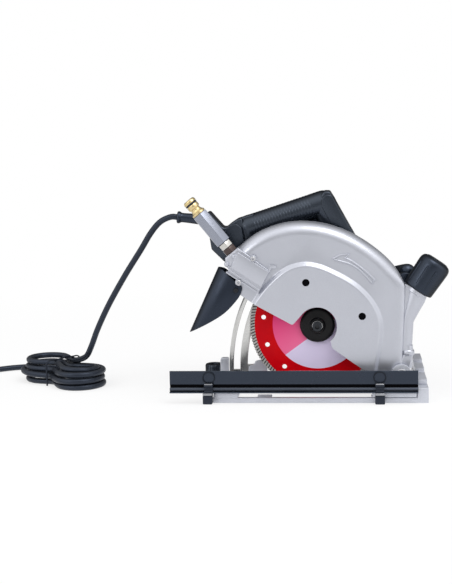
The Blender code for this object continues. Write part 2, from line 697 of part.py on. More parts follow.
def make_motor(head, finish):
    wall = MOTOR_WALL
    inner_r = MOTOR_R - wall
    plate = 5.0
    drum = rod(MOTOR_R, MOTOR_NEAR, MOTOR_FAR, MOTOR, steps=FINE_STEPS)
    housing = piece("motor_housing", drum, finish["black"], head)
    saddle_x = (8.0 - MOTOR_R, MOTOR_R - 2.0)
    join(housing, box(saddle_x, (MOTOR_NEAR + GAP, HANDLE_FAR), (MOTOR[1] + 20, handle_seat() - GAP)))
    tool(housing, rod(inner_r, MOTOR_NEAR + plate, MOTOR_FAR + 1, MOTOR, steps=FINE_STEPS))
    pocket = REAR_BEARING_WIDE + GAP
    join(housing, rod(REAR_BEARING_R + 1.7, MOTOR_NEAR + 0.5, MOTOR_NEAR + pocket + 1.6, SPINDLE, steps=16))
    rear_far = MOTOR_NEAR + REAR_BEARING_WIDE
    rear_bearing = rod(REAR_BEARING_R, MOTOR_NEAR, rear_far, SPINDLE, SHAFT_R + GAP, 16)
    piece("spindle_bearing_rear", rear_bearing, finish["steel"], head)
    holes = [rod(BEARING_R + GAP, MOTOR_NEAR - 1, MOTOR_NEAR + plate + 1, MOTOR),
             rod(REAR_BEARING_R + GAP, MOTOR_NEAR - 1, MOTOR_NEAR + pocket, SPINDLE, steps=16)]
    for side in (-1, 1):
        at = (0, commutator_from() + COMMUTATOR_LONG / 2, MOTOR[1])
        holes.append(lathe(bar(BRUSH_CAP_R + GAP, side * 20.0, side * 60.0), at, "X", 16))
    for turn in (-70.0, -45.0, -20.0, 200.0, 225.0, 250.0):
        vent = box((inner_r - 3.0, MOTOR_R + 3.0), (MOTOR_NEAR + 18.0, MOTOR_NEAR + 28.0), (-2.0, 2.0))
        vent.transform(Matrix.Rotation(math.radians(-turn), 4, "Y"))
        vent.transform(Matrix.Translation(Vector((MOTOR[0], 0, MOTOR[1])) * MM))
        holes.append(vent)
    tool(housing, together(holes))
    cap_far = END_CAP_NEAR + END_CAP_LONG
    near, socket_r, hub_r = END_CAP_NEAR, BEARING_R + GAP, BEARING_R + 4.0
    cap_profile = [(0, near + 6.0), (socket_r, near + 6.0), (socket_r, near - 4.0), (hub_r, near - 4.0),
                   (hub_r, near + 4.0), (inner_r, near + 4.0), (inner_r, near), (MOTOR_R, near),
                   (MOTOR_R, cap_far - 8.0), (MOTOR_R - 8.0, cap_far), (0, cap_far)]
    cup = lathe(cap_profile, (MOTOR[0], 0, MOTOR[1]), steps=FINE_STEPS)
    cap = piece("motor_end_cap", cup, finish["black"], head)
    rows = [MOTOR[1] + (i - 2) * 9.0 for i in range(5)]
    tool(cap, together([box((-22.0, 22.0), (near + 8.0, cap_far + 1), (z - 2.0, z + 2.0)) for z in rows]))
    stator = rod(STATOR_R, CORE_FROM, CORE_FROM + CORE_LONG, MOTOR, STATOR_BORE_R)
    piece("field_stator", stator, finish["dark_steel"], head)
    wide = BEARING_WIDE - 2.0
    for name, start in (("armature_bearing_front", MOTOR_NEAR), ("armature_bearing_rear", near - 3.0)):
        piece(name, rod(BEARING_R, start, start + wide, MOTOR, SHAFT_R + GAP), finish["steel"], head)
    middle = commutator_from() + COMMUTATOR_LONG / 2
    for name, side in (("carbon_brush_front", 1), ("carbon_brush_rear", -1)):
        ends = sorted((side * (COMMUTATOR_R + RUN_GAP), side * (inner_r - 6.0)))
        tall, wide = BRUSH[0] / 2, BRUSH[1] / 2
        brush = box(ends, (middle - wide, middle + wide), (MOTOR[1] - tall, MOTOR[1] + tall))
        piece(name, brush, finish["carbon"], head)
    for name, side in (("brush_cap_front", 1), ("brush_cap_rear", -1)):
        profile = bar(BRUSH_CAP_R, side * (inner_r - 6.0 + GAP), side * (MOTOR_R + 2.0))
        piece(name, lathe(profile, (0, middle, MOTOR[1]), "X", 16), finish["black"], head)


def commutator_from():
    return CORE_FROM + CORE_LONG + 6.0


def make_armature(head, finish, gear_near):
    pivot = (MOTOR[0], 0.0, MOTOR[1])
    spin = frame_empty("armature_axis", head, pivot)

    def turning(name, bm, look):
        bm.transform(Matrix.Translation(-Vector(pivot) * MM))
        return piece(name, bm, finish[look], spin)

    pinion_near = gear_near - 2.0
    gap_phase = -90.0 + 180.0 / PINION_TEETH
    pinion_far = pinion_near + PINION_FACE
    shaft = turning("armature_shaft", rod(SHAFT_R, pinion_far - 1.0, END_CAP_NEAR + 4.0, MOTOR), "steel")
    join(shaft, moved(prism(gear_outline(MOTOR, PINION_TEETH, gap_phase), pinion_near, pinion_far), pivot))
    bore = SHAFT_R + GAP
    turning("armature_core", rod(CORE_R, CORE_FROM, CORE_FROM + CORE_LONG, MOTOR, bore), "copper")
    start = commutator_from()
    turning("commutator", rod(COMMUTATOR_R, start, start + COMMUTATOR_LONG, MOTOR, bore), "copper")
    fan_near = MOTOR_NEAR + 10.0
    fan = turning("cooling_fan", rod(SHAFT_R + 5.0, fan_near, fan_near + FAN_THICK, MOTOR, bore), "black")
    join(fan, moved(rod(FAN_R, fan_near, fan_near + 1.6, MOTOR, SHAFT_R + 3.0, 24), pivot))
    for i in range(FAN_BLADES):
        vane = box((SHAFT_R + 4.0, FAN_R - 1.0), (fan_near + 1.0, fan_near + FAN_THICK), (-0.9, 0.9))
        vane.transform(Matrix.Rotation(math.radians(360.0 * i / FAN_BLADES), 4, "Y"))
        tool(fan, vane, "UNION")


def moved(bm, pivot):
    bm.transform(Matrix.Translation(-Vector(pivot) * MM))
    return bm


def handle_outline():
    """Rear handle's side view: cord end, sloping grip, front tower and lower bar."""
    seat = handle_seat()
    return rounded(((-126.0, 178.0, 5.0), (-70.0, seat, 0.0), (46.0, seat, 6.0), (56.0, 200.0, 10.0),
                    (20.0, 268.0, 5.0), (16.0, 271.4, 6.0), (1.0, 270.6, 20.0), (-100.0, 238.0, 14.0),
                    (-124.0, 223.0, 3.0), (-143.0, 247.6, 3.0), (-147.5, 241.5, 3.0), (-142.5, 194.5, 5.0)))


def finger_gap():
    return rounded(((-101.0, 198.5, 3.0), (-30.0, 189.0, 6.0), (14.0, 187.0, 6.0), (28.0, 199.0, 6.0),
                    (10.0, 233.0, 6.0), (-70.0, 211.0, 10.0), (-98.0, 204.5, 2.0)))


def make_handle(head, finish):
    """Rear handle's two shells, with the switch, the trigger, the lock button and the cord's boot."""
    outline = handle_outline()
    half = CAVITY_WIDE / 2
    cavity = ((-44.0, 206.0), (9.0, 222.0), (9.0, 256.0), (-44.0, 240.0))
    halves = (("handle_near", HANDLE_NEAR, -GAP / 2), ("handle_far", HANDLE_FAR, GAP / 2))
    for name, face, apart in halves:
        split = HANDLE_MID + apart
        bm = prism(outline, face, split)
        bevel_edges(bm, edges_between(bm, lambda x, y, z, face=face: abs(y - face) < 0.01), 4.0, 2)
        shell = piece(name, bm, finish["black"], head)
        tool(shell, prism(finger_gap(), HANDLE_NEAR - 1, HANDLE_FAR + 1))
        tool(shell, prism(cavity, HANDLE_MID - half, HANDLE_MID + half))
        tool(shell, place_boot(rod(BOOT_R + GAP, BOOT_LONG - 22.0, BOOT_LONG + 1.0, (0, 0))))
    tool(shell, rod(BUTTON_R + GAP, HANDLE_MID, HANDLE_FAR + 10, BUTTON_AT, steps=16))
    switch = box((-40.0, -10.0), (HANDLE_MID - half + GAP, HANDLE_MID + half - GAP), (0.0, 5.6))
    slope = math.atan2(cavity[2][1] - cavity[3][1], cavity[2][0] - cavity[3][0])
    lift = Matrix.Translation(Vector((0, 0, 247.0)) * MM)
    switch.transform(lift @ Matrix.Rotation(-slope, 4, "Y"))
    piece("switch_module", switch, finish["dark_plastic"], head)
    boot = [(CORD_R + GAP, 0), (BOOT_R, 0), (BOOT_R, 6.0), (BOOT_R - 1.2, 8.0),
            (BOOT_R - 0.4, BOOT_LONG - 12.0), (BOOT_R, BOOT_LONG), (CORD_R + GAP, BOOT_LONG)]
    piece("cord_boot", place_boot(lathe(boot, (0, 0, 0), steps=16)), finish["rubber"], head)
    make_trigger(head, finish)
    far = HANDLE_FAR + BUTTON_TRAVEL + 1.5
    near = HANDLE_MID + TRIGGER_WIDE / 2 + BUTTON_TRAVEL + 1.0
    button = [(0, near), (BUTTON_R, near), (BUTTON_R, far - 1.0), (BUTTON_R - 1.0, far), (0, far)]
    slide = frame_empty("button_axis", head, (BUTTON_AT[0], 0.0, BUTTON_AT[1]))
    piece("lock_button", lathe(button, (0, 0, 0), steps=16), finish["dark_plastic"], slide)


def make_trigger(head, finish):
    """Trigger with a trunnion on each side, reaching to the walls of the handle's cavity."""
    pivot = (TRIGGER_PIVOT[0], HANDLE_MID, TRIGGER_PIVOT[1])
    axis = frame_empty("trigger_axis", head, pivot)
    shape = rounded(((4.0, 247.0, 3.5), (-34.0, 232.0, 2.0), (-32.0, 216.0, 3.0), (-16.0, 211.0, 3.0),
                     (1.0, 224.0, 4.0), (8.0, 243.0, 3.5)), 3)
    body = prism(shape, HANDLE_MID - TRIGGER_WIDE / 2, HANDLE_MID + TRIGGER_WIDE / 2)
    trigger = piece("trigger", moved(body, pivot), finish["dark_plastic"], axis)
    reach = CAVITY_WIDE / 2 - GAP
    join(trigger, rod(TRIGGER_PIN_R, -reach, reach, (0, 0), steps=10))


def place_boot(bm):
    """Boot drawn along y from its cord end, turned to lie along x into the handle."""
    turn = Matrix.Rotation(math.radians(-90), 4, "Z")
    tip = Matrix.Rotation(math.radians(6.0), 4, "Y")
    bm.transform(Matrix.Translation(Vector((-190.0, HANDLE_MID, 238.0)) * MM) @ tip @ turn)
    return bm


def make_front(head, finish):
    left = GUARD_FRONT_X + 1.2
    outline = rounded(((left - 3.0, 66.0, 0.0), (left + 7.8, 66.0, 3.0), (left + 10.8, 90.0, 14.0),
                       (left + 28.8, 132.0, 2.0), (left + 4.8, 147.5, 2.0), (left + 0.6, 140.0, 2.0),
                       (left + 0.6, 104.0, 0.0)))
    arm = prism(outline, -ARM_HALF, ARM_HALF)
    long_edges = edges_between(arm, lambda x, y, z: x > left + 5.8 and 67.0 < z < 131.0)
    bevel_edges(arm, [e for e in long_edges if abs(e.verts[0].co.y - e.verts[1].co.y) < 1e-6], 7.0, 3)
    front_arm = piece("front_arm", arm, finish["cast"], head)
    collar = [(0, 56.0), (8.0, 56.0), (8.0, 62.0), (6.6, 66.5), (0, 66.5)]
    join(front_arm, lathe(collar, (left + 2.0, 0, 0), "Z", 20))
    join(front_arm, lathe(bar(5.2, 48.0, 57.0), (left + 1.0, 0, 0), "Z", 16))
    profile = [(0, 0.0), (KNOB_R - 2.5, 0.0), (KNOB_R, 2.5), (KNOB_R - 1.2, KNOB_LONG - 9.0),
               (KNOB_R - 3.4, KNOB_LONG - 3.0), (KNOB_R - 8.0, KNOB_LONG), (0, KNOB_LONG)]
    centre = (KNOB_FROM[0], 0, KNOB_FROM[1])
    knob = piece("front_knob", lathe(profile, centre, "FEED", 24, KNOB_ANGLE), finish["black"], head)
    stud_end = 24.0
    tool(knob, lathe(bar(KNOB_STUD_R + GAP, -1, stud_end + 1), centre, "FEED", 16, KNOB_ANGLE))
    join(front_arm, lathe(bar(KNOB_STUD_R, -8, stud_end), centre, "FEED", 16, KNOB_ANGLE))
    tool(front_arm, guard_envelope(GAP))
    x, z = SIDE_HANDLE_AT
    route = [(MOTOR[0] + MOTOR_R + GAP, 84.0, MOTOR[1]), (58.0, 84.0, MOTOR[1] + 1.0), (76.0, 80.0, z - 18.0),
             (x - 25.0, 71.0, z - 5.0), (x - 11.0, 56.0, z), (x, 36.0, z), (x, 26.0, z)]
    tube("front_side_handle", route, SIDE_HANDLE_R, finish["black"], head, 2)


def quadrant_band(inner, outer, start, end, steps):
    """Curved strip about the depth pivot, measured up from the rear."""
    centre = (PIVOT_X, PIVOT_Z)
    high = arc(centre, outer, 180.0 - start, 180.0 - end, steps)
    low = arc(centre, inner, 180.0 - end, 180.0 - start, steps)
    return high + low


def make_base(root, finish):
    plate_outline = [(BASE_REAR_X, BASE_NEAR_Y), (BASE_FRONT_X, BASE_NEAR_Y), (BASE_FRONT_X, BASE_FAR_Y),
                     (BASE_REAR_X, BASE_FAR_Y)]
    plate = piece("base_plate", slab(plate_outline, 0.0, PLATE_THICK), finish["cast"], root)
    join(plate, box((BASE_REAR_X, BASE_FRONT_X), (BASE_NEAR_Y, BASE_NEAR_Y + BAR_WIDE), (1.0, BAR_TALL)))
    join(plate, box((BASE_FRONT_X - LIP_LONG, BASE_FRONT_X), (BASE_NEAR_Y, BASE_FAR_Y), (1.0, LIP_TALL)))
    x, y = REAR_KNOB
    join(plate, box((REAR_TAB_X, BASE_REAR_X + 2.0), (y - 14.0, y + 14.0), (0.0, PLATE_THICK)))
    join(plate, lathe(bar(REAR_BOSS_R, 1.0, REAR_BOSS_TALL), (x, y, 0), "Z", 20))
    join(plate, lathe(bar(REAR_STUD_R, 1.0, REAR_BOSS_TALL + 10.0), (x, y, 0), "Z", 16))
    inner_near = BASE_NEAR_Y + BAR_WIDE
    for span, near in ((WINDOW_X, inner_near), (SIDE_WINDOW_X, inner_near), (SLOT_X, SLOT_NEAR_Y)):
        tool(plate, box(span, (near, WINDOW_FAR_Y), (-1.0, PLATE_THICK + 4.0)))
    tool(plate, box((BASE_REAR_X - 20.0, REAR_NOTCH_X), REAR_NOTCH_Y, (-1.0, PLATE_THICK + 4.0)))
    make_bracket(root, finish)
    make_quadrant(root, finish)
    low = REAR_BOSS_TALL + GAP
    top = low + REAR_KNOB_LONG
    turn = frame_empty("rear_knob_axis", root, (x, y, 0.0))
    bore = REAR_STUD_R + GAP
    profile = [(bore, low), (REAR_KNOB_R - 1.0, low), (REAR_KNOB_R, low + 1.5), (REAR_KNOB_R, top - 2.0),
               (REAR_KNOB_R - 2.5, top), (bore, top)]
    knob = piece("rear_knob", lathe(profile, (0, 0, 0), "Z", 20), finish["black"], turn)
    for i in range(6):
        at = polar((0, 0), REAR_KNOB_R + 2.2, 60.0 * i)
        tool(knob, lathe(bar(3.6, 0, 60), (at[0], at[1], 0), "Z", 10))


def make_bracket(root, finish):
    """Front bracket: stepped block on the base's lip, with an ear on each side of the guard's foot."""
    front = BASE_FRONT_X - 1.0
    rear = front - BRACKET_LONG
    low = LIP_TALL + GAP
    steps = [box((rear, front), (near, far), (low, top)) for near, far, top in BRACKET_STEPS]
    bracket = piece("pivot_bracket", steps[0], finish["cast"], root)
    for step in steps[1:]:
        join(bracket, step)
    near_ear, far_ear = GUARD_NEAR - GAP - RUN_GAP, GUARD_BACK_FAR + 1.5
    ears = ((near_ear - PIVOT_EAR_THICK, near_ear), (far_ear, far_ear + PIVOT_EAR_THICK))
    for ear in ears:
        join(bracket, rod(PIVOT_EAR_R, ear[0], ear[1], (PIVOT_X, PIVOT_Z)))
        join(bracket, box((PIVOT_X, rear + 2.0), ear, (low + 1.0, BRACKET_STEPS[0][2])))
    tool(bracket, rod(PIVOT_PIN_R + GAP, -60, 60, (PIVOT_X, PIVOT_Z)))
    pin_near, pin_far = ears[0][0] - GAP, ears[1][1] + 2.0
    head_r, head_near = PIVOT_PIN_R + 3.0, pin_near - 3.0
    pin = [(0, head_near), (head_r, head_near), (head_r, pin_near), (PIVOT_PIN_R, pin_near),
           (PIVOT_PIN_R, pin_far), (0, pin_far)]
    piece("pivot_pin", lathe(pin, (PIVOT_X, 0, PIVOT_Z)), finish["steel"], root)


def make_quadrant(root, finish):
    band = quadrant_band(QUADRANT_INNER_R, QUADRANT_OUTER_R, QUADRANT_FROM, QUADRANT_TO, 14)
    quadrant = piece("depth_quadrant", prism(band, QUADRANT_NEAR, QUADRANT_FAR), finish["bright_steel"], root)
    foot_far = QUADRANT_NEAR + FOOT_DEEP
    join(quadrant, box(FOOT_X, (QUADRANT_NEAR, foot_far), (PLATE_THICK + GAP, FOOT_TALL)))
    for span, top in QUADRANT_LUGS:
        join(quadrant, box(span, (QUADRANT_NEAR, QUADRANT_FAR), (PLATE_THICK + 2.0, top)))
    half = QUADRANT_SLOT_W / 2
    slot_to = CLAMP_ANGLE + math.degrees((CLAMP_BOLT_R + 1.0) / SLOT_R)
    slot = quadrant_band(SLOT_R - half, SLOT_R + half, SLOT_FROM, slot_to, 14)
    tool(quadrant, prism(slot, QUADRANT_NEAR - 1, foot_far + 1))
    tool(quadrant, box((-300.0, 0.0), (0.0, 60.0), (-40.0, PLATE_THICK + GAP)))


def make_clamp(head, finish):
    x, z = clamp_at()
    near = GUARD_BACK_NEAR - GAP - 3.0
    knob_near = QUADRANT_FAR + 0.6
    far = knob_near + CLAMP_KNOB_LONG - 3.0
    seat = GUARD_BACK_NEAR - GAP
    bolt = [(0, near), (CLAMP_HEAD_R, near), (CLAMP_HEAD_R, seat), (CLAMP_BOLT_R, seat), (CLAMP_BOLT_R, far),
            (0, far)]
    piece("depth_clamp_bolt", lathe(bolt, (x, 0, z), steps=16), finish["steel"], head)
    turn = frame_empty("clamp_axis", head, (x, 0.0, z))
    bore = CLAMP_BOLT_R + GAP
    knob_far = knob_near + CLAMP_KNOB_LONG
    profile = [(bore, knob_near), (CLAMP_KNOB_R - 5.0, knob_near), (CLAMP_KNOB_R, knob_near + 4.0),
               (CLAMP_KNOB_R, knob_far - 2.0), (CLAMP_KNOB_R - 2.5, knob_far), (bore, knob_far)]
    knob = piece("depth_clamp_knob", lathe(profile, (0, 0, 0), steps=24), finish["black"], turn)
    for i in range(6):
        at = polar((0, 0), CLAMP_KNOB_R + 2.4, 60.0 * i + 30.0)
        tool(knob, rod(4.4, knob_near - 1, knob_far + 1, at, steps=10))


def make_rail(root, finish):
    """Black splash rail along the near edge: flat web, groove, rounded bead and a small foot."""
    y = RAIL_BACK_Y
    low, high = RAIL_Z
    front = y - RAIL_WEB
    bead = [polar((front - 0.4, RAIL_BEAD_Z), RAIL_BEAD_R, 90.0 + 45.0 * i) for i in range(5)]
    section = [(y, low), (y, high), (front, high), (front, RAIL_BEAD_Z + RAIL_BEAD_R + 2.0)] + bead
    section += [(front - RAIL_LIP, low + 1.2), (front - RAIL_LIP, low)]
    bm = prism([(-across, z) for across, z in section], RAIL_X[0], RAIL_X[1])
    bm.transform(Matrix.Rotation(math.radians(-90), 4, "Z"))
    piece("splash_rail", bm, finish["black_steel"], root)
    for name, middle in zip(("rail_clip_rear", "rail_clip_front"), CLIP_X):
        make_clip(root, finish, name, middle)


def make_clip(root, finish, name, middle):
    """Spring clip: a foot over the base's near bar, a strap up the rail's face and a wire bail."""
    half = CLIP_WIDE / 2
    span = (middle - half, middle + half)
    outer = RAIL_BACK_Y - RAIL_WEB - RAIL_LIP - GAP
    foot_near = BASE_NEAR_Y - GAP
    low, top = 0.4, RAIL_Z[0] - GAP - 5.0
    strap_low = RAIL_BEAD_Z + RAIL_BEAD_R + 2.6
    strap_top = strap_low + 3.6
    clip = piece(name, box(span, (outer - 1.0, foot_near), (low, top)), finish["black_steel"], root)
    join(clip, box(span, (outer - CLIP_THICK, outer), (low + 1.0, strap_top - 1.0)))
    face = RAIL_BACK_Y - RAIL_WEB - GAP
    join(clip, box(span, (outer - CLIP_THICK, face), (strap_low, strap_top)))
    join(clip, bail_wire((middle, face - BAIL_WIRE_R, strap_top)))


def bail_wire(centre):
    """Arched wire that stands on a clip's strap."""
    wire = bmesh.new()
    rings = []
    for i in range(12):
        turn = math.radians(-20 + 20 * i)
        outward = Vector((math.cos(turn), 0, math.sin(turn)))
        middle = Vector(centre) + outward * BAIL_R
        ring = []
        for k in range(6):
            across, deep = polar((0, 0), BAIL_WIRE_R, 60 * k)
            ring.append(wire.verts.new((middle + outward * across + Vector((0, deep, 0))) * MM))
        rings.append(ring)
    for first, second in zip(rings, rings[1:]):
        for k in range(6):
            wire.faces.new((first[k], first[(k + 1) % 6], second[(k + 1) % 6], second[k]))
    wire.faces.new(rings[0])
    wire.faces.new(rings[-1])
    bmesh.ops.recalc_face_normals(wire, faces=wire.faces)
    return wire


def smooth_route(points, spacing):
    """Points along a smooth curve through the chosen ones, about one spacing apart."""
    knots = [Vector(p) for p in points]
    knots = [2 * knots[0] - knots[1]] + knots + [2 * knots[-1] - knots[-2]]
    route = []
    for a, b, c, d in zip(knots, knots[1:], knots[2:], knots[3:]):
        steps = max(1, round((c - b).length / spacing))
        for i in range(steps):
            t = i / steps
            square, cube = 2 * a - 5 * b + 4 * c - d, 3 * b - a - 3 * c + d
            route.append(0.5 * (2 * b + (c - a) * t + square * t**2 + cube * t**3))
    return route + [knots[-2]]


def tube(name, points, radius, finish, parent, resolution, spacing=0.0):
    """Round tube with closed ends along a line of points."""
    data = bpy.data.curves.new(name, "CURVE")
    data.dimensions = "3D"
    data.bevel_depth = radius * MM
    data.bevel_resolution = resolution
    data.use_fill_caps = True
    route = smooth_route(points, spacing or radius * 2.5)
    spline = data.splines.new("POLY")
    spline.points.add(len(route) - 1)
    for target, point in zip(spline.points, route):
        target.co = (*(Vector(point) * MM), 1.0)
    data.materials.append(finish)
    return place(name, data, parent, (0, 0, 0))


def wound(name, points, finish, parent):
    """Unbroken wound cord through every given point, with its least gap to itself printed."""
    data = bpy.data.curves.new(name, "CURVE")
    data.dimensions = "3D"
    data.bevel_depth = CORD_R * MM
    data.bevel_resolution = 1
    data.use_fill_caps = True
    spline = data.splines.new("POLY")
    spline.points.add(len(points) - 1)
    for target, point in zip(spline.points, points):
        target.co = (*(Vector(point) * MM), 1.0)
    data.materials.append(finish)
    print(f"{name}: least gap to itself {least_gap(points):.2f} mm, length {length_of(points):.0f} mm")
    return place(name, data, parent, (0, 0, 0))


def length_of(points):
    return sum((Vector(a) - Vector(b)).length for a, b in zip(points, points[1:]))


def least_gap(points):
    """Smallest clear distance between stretches of a wound cord that aren't neighbours along it."""
    dense = []
    for a, b in zip(points, points[1:]):
        a, b = Vector(a), Vector(b)
        dense += [a.lerp(b, k / 4) for k in range(4)]
    apart = int(LOOP_POINTS * 2)
    nearest = min((p - q).length for i, p in enumerate(dense) for q in dense[i + apart:])
    return nearest - CORD_D


def hank_point(turn, offset):
    """Point of the hank's loop, drawn in at the waist, at a share of a turn and an offset outwards."""
    share = turn % 1.0
    quarter, part = int(share * 4), share * 4 % 1.0
    side = 1 if quarter in (0, 3) else -1
    if quarter in (0, 2):
        lift = HANK_HALF_RUN * (2 * part - 1) * side
        waist = HANK_END_R - HANK_WAIST * math.cos(math.pi * lift / (2 * HANK_HALF_RUN)) ** 2
        slope = HANK_WAIST * math.pi / (2 * HANK_HALF_RUN) * math.sin(math.pi * lift / HANK_HALF_RUN)
        normal = Vector((-slope, 1.0)).normalized()
        return Vector((lift, side * waist)) + Vector((normal.x, side * normal.y)) * offset
    angle = math.radians(90 - 180 * part) if quarter == 1 else math.radians(-90 - 180 * part)
    middle = HANK_HALF_RUN if quarter == 1 else -HANK_HALF_RUN
    return Vector((middle, 0)) + (HANK_END_R + offset) * Vector((math.cos(angle), math.sin(angle)))


def hank_route():
    """Loops in four layers: each layer spirals in or out, then climbs in half a turn."""
    stages = ((1.0, -1, 0), (0.5, 0, 1), (1.0, 1, 0), (0.5, 0, 1), (1.0, -1, 0), (0.5, 0, 1), (0.5, 1, 0))
    turn, offset, height = 0.125, HANK_PITCH, FLOOR_Z
    route = []
    for turns, spiral, climb in stages:
        count = round(turns * LOOP_POINTS)
        for i in range(count):
            part = i / count
            point = hank_point(turn + turns * part, offset + spiral * HANK_PITCH * turns * part)
            route.append((point.x, point.y, height + climb * LAYER * part))
        turn += turns
        offset += spiral * HANK_PITCH * turns
        height += climb * LAYER
    last = hank_point(turn, offset)
    route.append((last.x, last.y, height))
    straight = CORD_D
    route.insert(0, (route[0][0] - straight, route[0][1] + straight * 0.45, route[0][2]))
    route.append((route[-1][0] + straight, route[-1][1], route[-1][2]))
    spin = Matrix.Rotation(math.radians(HANK_TURN), 2)
    placed = []
    for x, y, z in route:
        flat = spin @ Vector((x, y))
        placed.append((HANK_AT[0] + flat.x, HANK_AT[1] + flat.y, z))
    return placed


def coil_route():
    """Round coil in two layers: spirals in on the floor, climbs and spirals out to the plug."""
    stages = ((COIL_TURNS, -COIL_PITCH, 0.0), (0.5, 0.0, LAYER), (COIL_TURNS - 0.25, COIL_PITCH, 0.0),
              (0.25, COIL_LEAVE * 4, PLUG_R + 0.2 - FLOOR_Z - LAYER))
    angle, radius, height = COIL_START, COIL_OUTER_R, FLOOR_Z
    route = []
    for turns, spiral, climb in stages:
        count = round(turns * LOOP_POINTS)
        for i in range(count):
            part = i / count
            x, y = polar(COIL_AT, radius + spiral * turns * part, angle + 360.0 * turns * part)
            route.append((x, y, height + climb * part))
        angle += 360.0 * turns
        radius += spiral * turns
        height += climb
    route.append((*polar(COIL_AT, radius, angle), height))
    start = Vector((CORD_D, 0, 0)) + Vector(route[0])
    leave = (Vector(route[-1]) - Vector(route[-2])).to_2d().normalized() * CORD_D
    route.insert(0, tuple(start))
    route.append(tuple(Vector(route[-1]) + leave.to_3d()))
    return route


def make_cord(head, finish):
    hank, coil = hank_route(), coil_route()
    wound("cord_hank", hank, finish["cord"], head)
    wound("cord_coil", coil, finish["cord"], head)
    lead = [(-189.2, HANDLE_MID, 238.0), (-199.0, HANDLE_MID, 238.4), (-214.0, 50.0, 231.5),
            (-228.0, 53.0, 216.0), (-243.0, 58.0, 193.0), (-268.0, 65.0, 156.0), (-293.0, 71.0, 115.0),
            (-311.0, 75.5, 80.0), (-322.0, 79.0, 54.0), (-331.0, 83.0, 38.5)]
    lead += [meeting(hank[-1], hank[-2], CORD_D), meeting(hank[-1], hank[-2])]
    on_floor = ((-371.0, 138.5), (-386.0, 158.0), (-406.0, 173.0), (-432.0, 179.0), (-460.0, 172.0),
                (-487.0, 155.0), (-513.0, 138.5), (-543.0, 130.0))
    tail = [meeting(hank[0], hank[1]), meeting(hank[0], hank[1], CORD_D)]
    tail += [(x, y, FLOOR_Z) for x, y in on_floor] + [meeting(coil[0], coil[1])]
    tube("cord_lead", lead, CORD_R, finish["cord"], head, 2, CORD_D * 2.2)
    tube("cord_tail", tail, CORD_R, finish["cord"], head, 2, CORD_D * 2.2)
    make_plug(head, finish, Vector(coil[-1]), Vector(coil[-1]) - Vector(coil[-2]))
    make_tie(head, finish)


def meeting(end, before, past=GAP):
    """Place straight past a wound end, where the next stretch of cord starts or still runs straight."""
    end, before = Vector(end), Vector(before)
    return end + (end - before).normalized() * past


def make_plug(head, finish, start, along):
    """Round mains plug that lies on the floor, with its two pins."""
    profile = [(0, GAP), (6.0, GAP), (8.0, 16.0), (PLUG_R, 22.0), (PLUG_R, PLUG_LONG), (0, PLUG_LONG)]
    turn = along.normalized().to_track_quat("Z", "Y").to_matrix().to_4x4()
    put = Matrix.Translation(start * MM) @ turn
    body = lathe(profile, (0, 0, 0), "Z", 24)
    body.transform(put)
    plug = piece("mains_plug", body, finish["rubber"], head)
    for side in (-PIN_SPREAD / 2, PIN_SPREAD / 2):
        pin = lathe(bar(PIN_R, PLUG_LONG - 1, PLUG_LONG + PIN_LONG), (side, 0, 0), "Z", 10)
        pin.transform(put)
        join(plug, pin)


def make_tie(head, finish):
    """Wire tie round the hank's waist."""
    half = HANK_END_R - HANK_WAIST + HANK_PITCH + CORD_R + 3.4
    top = FLOOR_Z + 3 * LAYER + CORD_R + 1.1
    wall = 0.8
    inner, under = half - wall, top - wall
    section = rounded(((-half, 0.2, 0.0), (half, 0.2, 0.0), (half, top, 8.0), (-half, top, 8.0)))
    turn_in = 8.0 - wall
    room = rounded(((-inner, -9.0, 0.0), (inner, -9.0, 0.0), (inner, under, turn_in), (-inner, under, turn_in)))
    turn = Matrix.Rotation(math.radians(HANK_TURN + 90.0), 4, "Z")
    put = Matrix.Translation(Vector((*HANK_AT, 0.0)) * MM) @ turn
    band = prism(section, -2.5, 2.5)
    band.transform(put)
    tie = piece("hank_tie", band, finish["dark_plastic"], head)
    hole = prism(room, -5.0, 5.0)
    hole.transform(put)
    tool(tie, hole)


def finishes():
    return {
        "cast": material("cast_aluminium", (0.46, 0.48, 0.55), 0.42, 0.85),
        "black": material("black_plastic", (0.022, 0.026, 0.035), 0.5, 0.0),
        "dark_plastic": material("dark_plastic", (0.03, 0.03, 0.035), 0.45, 0.0),
        "rubber": material("black_rubber", (0.020, 0.023, 0.030), 0.65, 0.0),
        "cord": material("cord_rubber", (0.018, 0.018, 0.021), 0.6, 0.0),
        "steel": material("steel", (0.55, 0.56, 0.58), 0.3, 1.0),
        "bright_steel": material("bright_steel", (0.62, 0.63, 0.65), 0.28, 1.0),
        "dark_steel": material("laminated_steel", (0.12, 0.12, 0.13), 0.55, 0.8),
        "black_steel": material("black_steel", (0.030, 0.032, 0.038), 0.4, 0.3),
        "bronze": material("browned_steel", (0.060, 0.040, 0.038), 0.4, 0.7),
        "brass": material("brass", (0.60, 0.38, 0.11), 0.3, 1.0),
        "copper": material("copper_winding", (0.45, 0.17, 0.08), 0.45, 0.9),
        "carbon": material("carbon", (0.02, 0.02, 0.02), 0.8, 0.0),
        "blade_red": material("blade_red", (0.54, 0.004, 0.014), 0.35, 0.2),
    }


def main():
    for obj in list(bpy.data.objects):
        bpy.data.objects.remove(obj, do_unlink=True)
    finish = finishes()
    saw = frame_empty("saw", None, (0.0, BLADE_PLANE_Y, 0.0))
    head = frame_empty("head", saw)
    base = frame_empty("base", saw)
    make_guard(head, finish)
    make_water_feed(head, finish)
    make_chute(head, finish)
    gear_near = make_blade(head, finish)
    make_gear_case(head, finish, gear_near)
    make_motor(head, finish)
    make_armature(head, finish, gear_near)
    make_handle(head, finish)
    make_front(head, finish)
    make_clamp(head, finish)
    make_base(base, finish)
    make_rail(base, finish)
    make_cord(head, finish)


main()
